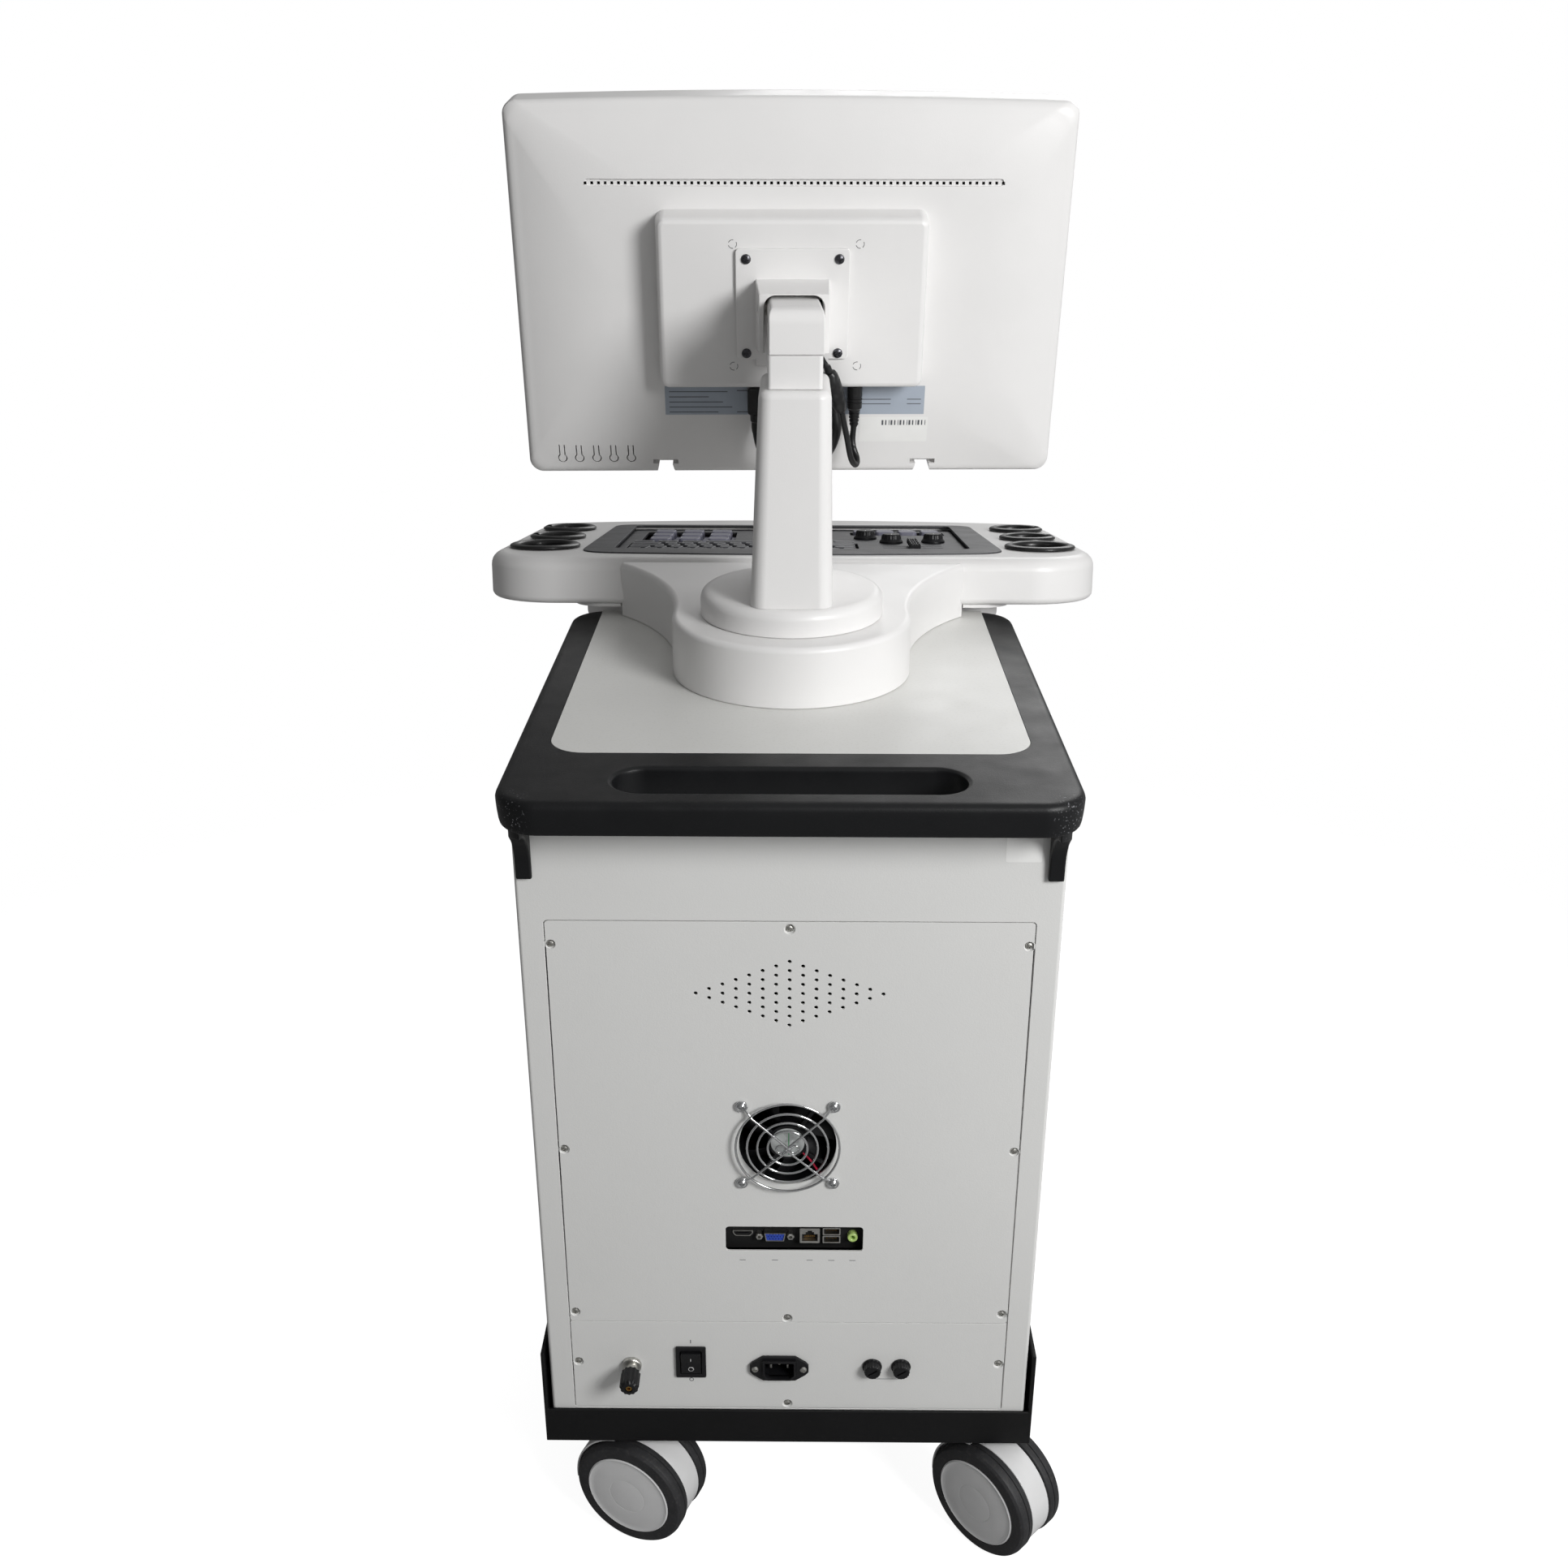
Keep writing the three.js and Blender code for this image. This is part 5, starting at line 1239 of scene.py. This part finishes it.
def add_controls():
    ball = bmesh.new()
    bmesh.ops.create_uvsphere(ball, u_segments=64, v_segments=40, radius=19)
    piece("tracking_ball", moved(ball, 0, -222, -8), CONSOLE, BALL, "trackball_resin",
          body="trackball", replaces=["trackball"])
    collar = [(20.1, DECK_TOP + 0.1), (25.5, DECK_TOP + 0.1), (25.2, DECK_TOP + 1.1), (23.6, DECK_TOP + 2.2),
              (21.6, DECK_TOP + 2.2), (20.3, DECK_TOP + 1.3)]
    piece("trackball_collar", moved(turned(collar, 64, closed=True), 0, -222), CONSOLE, LILAC, "lilac_keys")

    flutes = lambda angle, radius, height: 1 + (0.025 * math.cos(18 * angle) if 9 < radius < 10.1 else 0)
    foot = DECK_TOP + GAP
    side = [(0, foot), (12, foot), (12, foot + 1.4), (11.3, foot + 2.3), (10.2, foot + 3.6), (10, foot + 4.4),
            (9.4, foot + 7.6), (8.5, foot + 8.7), (7, foot + 9), (0, foot + 8.5)]
    for index, (x, y) in enumerate(KNOB_SPOTS, 1):
        name = f"knob_{index}"
        piece(f"rotary_{name}", moved(turned(side, 108, wave=flutes), x, y), CONSOLE, BLACK_PLASTIC,
              "black_plastic", body=name, replaces=[name])
        pointer = rounded_box(x - 0.5, x + 0.5, y + 3, y + 7.6, 0.4, [(0, foot + 8.4), (0, foot + 9.05)], 3)
        piece(f"{name}_pointer", pointer, CONSOLE, WHITE_MARK, "black_plastic", body=name)

    for index in range(4):
        x, y = -120, SLIDER_Y + SLIDER_PITCH * index
        stem = block(x - 2, x + 2, y - 1, y + 1, -14, 0)
        ridges = [(-5, -1), (5, -1), (5, 2.6), (4.2, 4), (3.2, 4), (2.6, 2.9), (2.0, 2.9), (1.6, 3.6),
                  (0.6, 3.6), (0, 2.4), (-0.6, 3.6), (-1.6, 3.6), (-2.0, 2.9), (-2.6, 2.9), (-3.2, 4),
                  (-4.2, 4), (-5, 2.6)]
        cap = facing(prism([(x + dx, z) for dx, z in ridges], y - 5, y + 5))
        name = f"tgc_slider_{index + 1}"
        piece(f"{name}_cap", merge(stem, cap), CONSOLE, BLACK_PLASTIC, "black_plastic", body=name,
              replaces=[name], bevel=0.3, angle=40)


def add_cups():
    for side_name, side in (("left", -1), ("right", 1)):
        for name, lip, bore, y, slot in HOLDERS:
            wall, x = bore + 3, side * HOLDER_X
            outside = [(wall, -43), (wall, GAP), (lip - 1.4, GAP), (lip - 0.3, 1), (lip, 2), (lip - 0.5, 3.1),
                       (lip - 1.9, 3.9), (bore + 5, 4.5), (bore + 2.6, 4.3), (bore + 0.8, 3), (bore, 0.6)]
            if slot:
                cup = turned([(bore, -43), *outside], 72, closed=True)
                reach = x + side * (lip + 5)
                notch = block(min(x, reach), max(x, reach), y - slot / 2, y + slot / 2, -60, 20)
                cup = cut(moved(cup, x, y), notch)
            else:
                cup = moved(turned([(0, -43), *outside, (bore, -37), (bore - 3, -40), (0, -40)], 72), x, y)
            node_name = f"holder_{name}_{side_name}"
            piece(f"probe_cup_{name}_{side_name}", cup, CONSOLE, GLOSSY_RUBBER, "soft_rubber",
                  replaces=[node_name], bevel=0.6, angle=45)


# ---------- Column and head ----------


def add_column():
    disc = [(0, NECK_TOP + GAP), (74.2, NECK_TOP + GAP), (75, NECK_TOP + 1.1), (75, 642.5)]
    disc += [(75 - 8 + x, 642.3 + z) for x, z in arc(0, 0, 8, 0, 90, 8)[1:]] + [(0, 650.3)]
    piece("column_foot_disc", moved(turned(disc, 96), 0, DISC_Y), CART, COVER, "cover_plastic",
          replaces=["column_base"])

    half_width, half_depth, corner, edge = 32.5, 62.5, 12, 6
    height = COLUMN_TOP - COLUMN_BASE
    rings = []
    for inset, z in round_edge(COLUMN_BASE, COLUMN_TOP, 0.6, edge, 6):
        scale = 1 - 0.15 * (z - COLUMN_BASE) / height
        x, y = half_width * scale - inset, half_depth * scale - inset
        middle = COLUMN_LEAN * (z - COLUMN_BASE) / height
        radius = max(corner * scale - inset, 1)
        plan = rounded_rectangle(middle - x, middle + x, COLUMN_Y - y, COLUMN_Y + y, radius, 10)
        rings.append([(px, py, z) for px, py in plan])
    piece("column_cover", loft(rings), CART, COVER, "cover_plastic", replaces=["column"])

    levels = round_edge(COLUMN_TOP + GAP, HEAD_BOTTOM - GAP, 0.3, 0.5, 2)
    post = rounded_box(COLUMN_LEAN - 21, COLUMN_LEAN + 21, -262, -190, 3, levels, 6)
    piece("inner_post", post, CART, COVER, "cover_plastic", replaces=["post"])


def head_axle():
    centre = HEAD.inverted() @ joint_point("monitor_tilt")
    return centre.y, centre.z


def add_head():
    axle_y, axle_z = head_axle()
    nose, rear, front = 12, -190, -262
    profile = [(front, HEAD_BOTTOM), (rear, HEAD_BOTTOM), (rear, HEAD_TOP - 12)]
    profile += bow(profile[-1], (rear, HEAD_TOP), (rear - 12, HEAD_TOP), 10)
    profile.append((front, HEAD_TOP))
    profile += arc(axle_y, axle_z, nose, 90, 270, 24)
    profile.append((axle_y + 10, axle_z - nose))
    side = sideways(prism(profile, -21, 21))
    crown = axle_z + nose + 0.1
    front_view = facing(rounded_box(-21, 21, HEAD_BOTTOM - 30, crown, 10, [(0, -330), (0, -150)], 10))
    bore = rod(6.6, -40, 40, 0, axle_y, axle_z, "x")
    head = cut(combine("INTERSECT", side, front_view), bore)
    piece("swivel_head", head, HEAD, COVER, "cover_plastic", body="monitor_head",
          replaces=["monitor_head"], bevel=0.8, angle=40)


# ---------- Monitor ----------


def back_depth(inset):
    """How far back the cover stands at a distance in from its edge."""
    edge, spread, rise = 8, 74, 12.5
    shoulder = BACK_FLAT - rise
    if inset < edge:
        return shoulder - edge + math.sqrt(max(edge**2 - (edge - inset) ** 2, 0))
    share = min((inset - edge) / spread, 1)
    return shoulder + rise * (1 - (1 - share) ** 2)


def monitor_outline(inset):
    corner = 11 + 0.6 * inset
    return rounded_rectangle(
        inset - MONITOR_HALF, MONITOR_HALF - inset, MONITOR_BOTTOM + inset, MONITOR_TOP - inset,
        corner, 12, 12,
    )


def crowned(mesh):
    """Lifts the top edge into a shallow crown."""
    for vertex in mesh.verts:
        share = max(vertex.co.z - 60, 0) / 90
        vertex.co.z += share * (2.3 - 3.7 * (vertex.co.x / MONITOR_HALF) ** 2)
    return mesh


def add_monitor_back():
    split = MONITOR_FRONT + 5 + GAP
    insets = [0, 0.6, 2.3, 4.9, 8, 12, 18, 26, 35, 45, 56, 68, 82]
    levels = [(0, split), *((inset, back_depth(inset)) for inset in insets)]
    shell = crowned(facing(stack(monitor_outline, levels)))
    bulge_levels = [(-1, -50), (0, BACK_FLAT), (1.8, -6), (2.5, -3.2), (3.8, -1.2), (5.6, -0.2), (7, 0)]
    bulge = facing(rounded_box(-BULGE_HALF, BULGE_HALF, -70, BULGE_TOP, 9, bulge_levels, 8))
    hollow = block(6 - MONITOR_HALF, MONITOR_HALF - 6, MONITOR_BOTTOM + 6, MONITOR_TOP - 6, split - 10, -59)
    deep = block(-170, 170, -100, 95, -75, -34)
    trough = prism(rounded_rectangle(-170.5, 166, 87.2, 92.6, 2.4, 5), -32.4, -20)
    vents = [block(x - 1.15, x + 1.15, 87.9, 90.3, -50, -20) for x in vent_columns()]
    notches = []
    for x in (109.3, -117):
        wide = [(x - 11, -146.5), (x + 11, -146.5), (x + 11, -142), (x - 11, -142)]
        open_part = [
            (x - 9, -160), (x + 9, -160), (x + 6, -147.5),
            (x + 6, -145), (x - 6, -145), (x - 6, -147.5),
        ]
        notches.append(prism(wide, -48.5, -20))
        notches.append(prism(open_part, -75, -20))
    slits = [prism(key_slit(x), -60, -20) for x in (199.5, 184.7, 169.5, 154.6, 139.4)]
    tools = [facing(mesh) for mesh in (hollow, deep, trough, merge(*vents), *notches, merge(*slits))]
    body = cut(join(shell, bulge), *tools)
    piece("monitor_rear_cover", body, MONITOR, COVER, "cover_plastic", body="monitor",
          replaces=["monitor_back_cover"], angle=26)
    # A near-black strip just behind the vent holes: painted shade that makes the holes read dark.
    vent_shade_strip = facing(prism(rounded_rectangle(-172, 172, 80, 99, 2, 3), -37.5, -36.5))
    piece("painted_vent_shade_strip", vent_shade_strip, MONITOR, NEAR_BLACK_AND_SHADE, "black_plastic", body="monitor")


def vent_columns():
    count, pitch, middle = 64, 5.33, -2.3
    return [middle + (i - (count - 1) / 2) * pitch for i in range(count)]


def key_slit(x):
    """A thin keyhole-shaped slit round a springy button."""
    top, centre, radius, neck = -127.8, -140.3, 3.7, 2.2
    start = math.degrees(math.asin(neck / radius))
    path = [(x - neck, top), *arc(x, centre, radius, 90 + start, 450 - start, 28), (x + neck, top)]
    return ribbon(path, 0.95)


def draped(x0, x1, z0, z1, lift=0.12, steps=12):
    """A thin film on the back cover, following its curve."""
    mesh = bmesh.new()
    rows = []
    for i in range(steps + 1):
        z = z0 + (z1 - z0) * i / steps
        y = back_depth(z - MONITOR_BOTTOM) + lift
        rows.append([mesh.verts.new((x, y, z)) for x in (x0, (x0 + x1) / 2, x1)])
    for lower, upper in zip(rows, rows[1:]):
        for j in range(2):
            mesh.faces.new((lower[j], lower[j + 1], upper[j + 1], upper[j]))
    return mesh


def add_monitor_labels():
    ride = {"body": "monitor"}
    piece("rating_label", draped(-115, 107.5, -99, -74), MONITOR, LABEL_BLUE, "cover_plastic", **ride)
    piece("serial_sticker", draped(-119, -60, -124.6, -101.5), MONITOR, LABEL_WHITE, "cover_plastic", **ride)
    marks = [draped(x, x + width, z, z + 0.7, 0.2, 1) for x, width, z in (
        (54, 50, -79), (70, 34, -83.5), (58, 46, -88), (50, 54, -92.5), (62, 42, -97),
        (34, 12, -78), (34, 12, -97), (-86, 28, -86), (-86, 28, -90), (-112, 12, -86), (-112, 12, -90))]
    marks += [
        draped(-117 + 2.6 * i, -117 + 2.6 * i + (0.6 + 0.5 * (i % 3)), -109, -104.5, 0.2, 3)
        for i in range(15)
    ]
    piece("label_rules", merge(*marks), MONITOR, PRINT_GREY, "cover_plastic", **ride)
    segments = []
    for x, z in ((48.1, 48.5), (-53.9, 48.5), (48.1, -49), (-53.9, -49)):
        for start in (20, 150, 262):
            path = arc(x, z, 3.3, start, start + 82, 10)
            segments.append(facing(prism(ribbon(path, 0.45), 0.0, 0.06)))
    piece("mount_knock_outs", merge(*segments), MONITOR, DARK_STEEL, "cover_plastic", **ride)


def add_monitor_front():
    window = rounded_rectangle(-204, 204, -127.5, 127.5, 3, 5)
    outline = rounded_rectangle(-MONITOR_HALF, MONITOR_HALF, MONITOR_BOTTOM, MONITOR_TOP, 11, 12, 12)
    rim = crowned(facing(plate(outline, [window], MONITOR_FRONT, MONITOR_FRONT + 5, 1.4)))
    piece("monitor_front_frame", rim, MONITOR, COVER, "cover_plastic", body="monitor",
          replaces=["monitor_front_bezel"])
    split = MONITOR_FRONT + 5
    glass = facing(rounded_box(
        -212, 212, -135.5, 135.5, 2, round_edge(split + 1, split + 13, 0.8, 0.8, 2), 4,
    ))
    piece("display_glass", glass, MONITOR, SCREEN, "screen", body="monitor", replaces=["lcd_panel"])


def add_yoke():
    plate_rear = 3.3
    flat = facing(rounded_box(-46, 46, -42.5, 45.5, 3, round_edge(GAP, plate_rear, 0, 0.7, 3), 6))

    def hood_outline(inset):
        return rounded_rectangle(inset - 30, 30 - inset, -48, 21.8, 1.2, 4)

    hood = facing(stack(hood_outline, [(0, plate_rear - 1), (2.3, HOOD_DEPTH - 0.5), (2.8, HOOD_DEPTH)]))
    mouth = [(0, plate_rear), (0, 42), (-0.5, 48), (-1.4, HOOD_DEPTH + 0.2)]
    tunnel = facing(rounded_box(-22.7, 22.7, -88, 19.6, 8, mouth, 10))
    underside = sideways(prism([(plate_rear, -34), (59, -23), (59, -90), (plate_rear, -90)], -60, 60))
    axle_hole = rod(6.5, -50, 50, 0, AXLE_Y, AXLE_Z, "x")
    yoke = join(flat, cut(hood, tunnel, underside, axle_hole))
    piece("tilt_bracket", yoke, MONITOR, COVER, "cover_plastic", body="monitor",
          replaces=["tilt_yoke"], bevel=0.35, angle=38)
    ends = [(0, -28.5), (5.2, -28.5), (6, -27.7), (6, 27.7), (5.2, 28.5), (0, 28.5)]
    socket = [
        moved(turned([(0, -3), (2.9, -3), (2.9, 3), (0, 3)], 6), x, AXLE_Y, AXLE_Z, "x")
        for x in (-28.5, 28.5)
    ]
    axle = cut(moved(turned(ends, 40), 0, AXLE_Y, AXLE_Z, "x"), *socket)
    piece("tilt_axle_pin", axle, MONITOR, ZINC, "metal_hardware", body="monitor", replaces=["tilt_axle"])
    spots = [shift(x, plate_rear - 0.1, z) @ turn(-90, "X") @ turn(20 * x + z, "Z")
             for x in (-37.5, 37.5) for z in (-37.5, 37.5)]
    piece(
        "mount_screws", scatter(pan_screw(4, 2.4), spots), MONITOR, DARK_STEEL, "metal_hardware",
        body="monitor",
    )


def add_leads():
    top = -70 - GAP
    grip = [(0, top), (6.5, top), (6.5, top - 9), (5.9, top - 9.4), (5.9, top - 10.2), (6.5, top - 10.6),
            (6.5, top - 12), (5.9, top - 12.4), (5.9, top - 13.2), (6.5, top - 13.6), (6.4, top - 18.5),
            (5.2, top - 20)]
    for i in range(5):
        z = top - 20 - 3 * i
        grip += [(5 - 0.3 * i, z), (5 - 0.3 * i, z - 1.5), (3.8 - 0.2 * i, z - 1.7), (3.8 - 0.2 * i, z - 2.9)]
    plug = moved(turned([*grip, (0, top - 35)][::-1], 40), -54, -16)
    path = [(-54, -16, -103), (-53.4, -14.5, -120), (-57, -7, -133.5), (-54.5, -1, -134), (-46, 4, -104),
            (-39, 7.5, -74), (-32, 10, -54), (-24, 12, -40), (-15, 14, -26), (-12, 13, -8)]
    lead = tube(path, 2.6, 4)
    piece("power_lead", merge(plug, lead), MONITOR, CABLE, "cable_jacket", body="monitor",
          replaces=["power_cable"])
    start, end = Vector((-42, 6.2, -86)), Vector((-28.5, 11, -46))
    length = (end - start).length
    dents = lambda angle, radius, height: 1 - 0.09 * max(0, math.sin(3 * angle) * math.sin(height * 0.7))
    swell = [(2.7, 0), (4.6, 1.5), (6.4, 8), (7, 20), (7, length - 14), (6.4, length - 8), (5.4, length - 6)]
    sleeve = turned([(0, 0), *refined(swell), (3.4, length - 5.6), (3, length), (0, length)], 60, wave=dents)
    aim = Vector((0, 0, 1)).rotation_difference(end - start).to_matrix().to_4x4()
    bmesh.ops.transform(sleeve, matrix=Matrix.Translation(start) @ aim, verts=sleeve.verts)
    piece("power_lead_sleeve", sleeve, MONITOR, CABLE, "cable_jacket", body="monitor")

    shell = facing(rounded_box(19, 37, -94, top, 3, round_edge(-23, -9, 2, 2, 3), 5))
    relief = moved(turned([(0, -110), (5.3, -110), (5.8, -106), (5.8, -101), (6.6, -100), (7, -93.5),
                           (0, -93.5)], 32),
                   28, -16)
    droop = [(28, -16, -96), (27.6, -15.2, -112), (21, -12, -128), (0, -10, -135.5), (-26, -10, -130),
             (-37, -10, -112), (-37, -13, -90), (-37, -16, -72)]
    video = merge(shell, relief, tube(droop, 5, 5))
    piece("video_lead", video, MONITOR, CABLE, "cable_jacket", body="monitor", replaces=["video_cable"])


def refined(profile, step=1.5):
    """A profile with extra points along its long runs."""
    points = [profile[0]]
    for end in profile[1:]:
        start = points[-1]
        pieces = max(1, round(abs(end[1] - start[1]) / step))
        points += between(start, end, pieces) + [end]
    return points


# ---------- Casters ----------


def add_caster(name):
    place = caster_place(name)
    wheel, lip_inner, lip_outer = WHEEL_RADIUS, WHEEL_RADIUS + 1.5, WHEEL_RADIUS + 3.3
    body_half, lip_half = WHEEL_INNER - 0.6, 21
    drum = rod(wheel - 1.5, -body_half, body_half, WHEEL_TRAIL, 0, wheel, "y", 96, 0.8)
    quarter = block(WHEEL_TRAIL - 70, WHEEL_TRAIL - 14, -60, 60, wheel - 6, wheel + 70)
    edge = [(lip_inner, 0.6), (lip_inner + 0.6, 0), (lip_outer - 0.6, 0), (lip_outer, 0.7)]
    section = [(radius, step - lip_half) for radius, step in edge]
    section += [(radius, lip_half - step) for radius, step in reversed(edge)]
    fender = moved(turned(section, 96, closed=True), WHEEL_TRAIL, 0, wheel, "y")
    web = rod(lip_inner + 0.5, -body_half, body_half, WHEEL_TRAIL, 0, wheel, "y", 96)
    shroud = combine("INTERSECT", join(fender, web), quarter)
    stem_top = 145 - 35 - 4 - GAP
    neck = turned([(0, wheel), (body_half, wheel), (body_half, stem_top), (0, stem_top)], 48)
    bore = rod(6.6, -30, 30, WHEEL_TRAIL, 0, wheel, "y")
    hood = cut(join(drum, shroud, neck), bore)
    body = f"caster_{name}"
    piece(f"caster_shell_{name}", hood, place, CASTER_SHELL, "caster_plastic", body=body,
          replaces=[f"caster_hood_{name}"], bevel=0.8, angle=40)

    tyre = [(HUB_RADIUS + 0.4, 12), (wheel - 1.6, 12), (wheel - 0.5, 12.7), (wheel, 14.4), (wheel, 17.4),
            (wheel - 0.8, 17.7), (wheel - 0.8, 18.2), (wheel, 18.5), (wheel, 22.4), (wheel - 0.7, 24.8),
            (wheel - 2.6, 26.6), (HUB_RADIUS + 6, 27.3), (HUB_RADIUS + 0.4, 27.4)]
    disc = [(0, 12), (HUB_RADIUS, 12), (HUB_RADIUS, 27.1), (HUB_RADIUS - 1.2, 27.9), (HUB_RADIUS - 3, 27.3),
            (HUB_RADIUS - 6, 27.4), (26, 28), (17.2, 28.3), (16.6, 28), (16, 28.3), (8, 28.5), (0, 28.5)]
    tyres, hubs = [], []
    for side in (1, -1):
        ring = moved(turned(tyre, 96, closed=True), WHEEL_TRAIL, 0, wheel, "y")
        cap = moved(turned(disc, 96), WHEEL_TRAIL, 0, wheel, "y")
        for mesh, group in ((ring, tyres), (cap, hubs)):
            if side < 0:
                bmesh.ops.scale(mesh, vec=(1, -1, 1), verts=mesh.verts)
                outward(mesh)
            group.append(mesh)
    axle = rod(6, -WHEEL_INNER, WHEEL_INNER, WHEEL_TRAIL, 0, wheel, "y")
    wheels = f"wheels_{name}"
    piece(f"tyres_{name}", merge(*tyres), place, TYRE, "tyre_rubber", body=wheels,
          replaces=[f"caster_wheels_{name}"])
    piece(f"hub_caps_{name}", merge(*hubs, axle), place, CASTER_SHELL, "caster_plastic", body=wheels)


# ---------- Studio ----------


def camera_only(tree, seen, otherwise):
    """One value for what the camera sees, and another for light bouncing about."""
    seen_directly = node(tree, "LightPath").outputs["Is Camera Ray"]
    return node(tree, "Mix", {0: seen_directly, 2: otherwise, 3: seen}, data_type="FLOAT").outputs[0]


def floor_material():
    """White paper that fades out into the white backdrop."""
    material = bpy.data.materials.new("studio_floor")
    material.use_nodes = True
    tree = material.node_tree
    tree.nodes.clear()
    place = node(tree, "TexCoord").outputs["Object"]
    away = node(tree, "VectorMath", {0: place}, operation="LENGTH").outputs["Value"]
    fade = remap(tree, away, 0.7, 1.5, 0, 1)
    paper = node(tree, "BsdfDiffuse", {"Color": linear(0xA0A0A0)}).outputs["BSDF"]
    glow = node(tree, "Emission", {"Strength": camera_only(tree, 0.93, 0.0)}).outputs["Emission"]
    lit = node(tree, "AddShader", {0: paper, 1: glow}).outputs["Shader"]
    clear = node(tree, "BsdfTransparent").outputs["BSDF"]
    faded = node(tree, "MixShader", {0: fade, 1: lit, 2: clear}).outputs["Shader"]
    node(tree, "OutputMaterial", {"Surface": faded})
    return material


def add_floor():
    data = bpy.data.meshes.new("studio_floor")
    mesh = bmesh.new()
    bmesh.ops.create_circle(mesh, cap_ends=True, segments=64, radius=1.6)
    mesh.to_mesh(data)
    mesh.free()
    data.materials.append(floor_material())
    floor = bpy.data.objects.new("studio_floor", data)
    floor.location.z = -0.0005
    bpy.context.scene.collection.objects.link(floor)


def add_light(name, watts, size, spot, target):
    lamp = bpy.data.lights.new(name, "AREA")
    lamp.shape = "DISK"
    lamp.energy = watts
    lamp.size = size
    light = bpy.data.objects.new(name, lamp)
    light.location = spot
    aim = Vector(target) - Vector(spot)
    light.rotation_euler = aim.to_track_quat("-Z", "Y").to_euler()
    bpy.context.scene.collection.objects.link(light)


def add_studio():
    add_floor()
    add_light("key_light", 37, 0.8, (-1.3, 1.75, 1.6), (0, 0.1, 0.7))
    add_light("overhead_light", 3, 1.6, (-0.5, 0.3, 2.7), (0, 0, 0.7))
    add_light("user_side_light", 36, 2.4, (-0.9, -3.2, 2.5), (0, 0, 0.7))
    world = bpy.data.worlds.new("studio")
    world.use_nodes = True
    tree = world.node_tree
    background = tree.nodes["Background"]
    background.inputs["Color"].default_value = (1, 1, 1, 1)
    direction = node(tree, "TexCoord").outputs["Generated"]
    across = node(tree, "SeparateXYZ", {"Vector": direction}).outputs["X"]
    soft_light = remap(tree, across, -0.8, 0.8, 0.38, 0.13)
    tree.links.new(camera_only(tree, 1.0, soft_light), background.inputs["Strength"])
    bpy.context.scene.world = world
    bpy.context.scene.view_settings.view_transform = "Standard"


def add_camera():
    lens = bpy.data.cameras.new("photo_camera")
    lens.lens = 35.61
    lens.sensor_width = 36
    camera = bpy.data.objects.new("photo_camera", lens)
    camera.location = (-0.0029, 1.3606, 1.1436)
    look_down, yaw, roll = 22.96, 0.41, 0.09
    aim = turn(180 + yaw, "Z") @ turn(90 - look_down, "X") @ turn(roll, "Z")
    camera.rotation_euler = aim.to_euler()
    bpy.context.scene.collection.objects.link(camera)
    bpy.context.scene.camera = camera


def build():
    for add_part in (
        add_base_tray, add_cabinet_shell, add_rear_panel, add_power_panel, add_panel_screws,
        add_front_panel, add_top_frame, add_top_plate, add_handle_brackets, add_asset_sticker,
        add_connector_strip, add_fan_housing, add_fan_rotor, add_fan_guard, add_power_switch,
        add_power_rocker, add_panel_marks, add_mains_inlet, add_fuse_holders, add_ground_terminal,
        add_inner_electronics, add_console_shells, add_keyboard, add_controls, add_cups, add_column,
        add_head, add_monitor_back, add_monitor_labels, add_monitor_front, add_yoke, add_leads,
    ):
        add_part()
    for name in CASTERS:
        add_caster(name)


build()
add_studio()
add_camera()
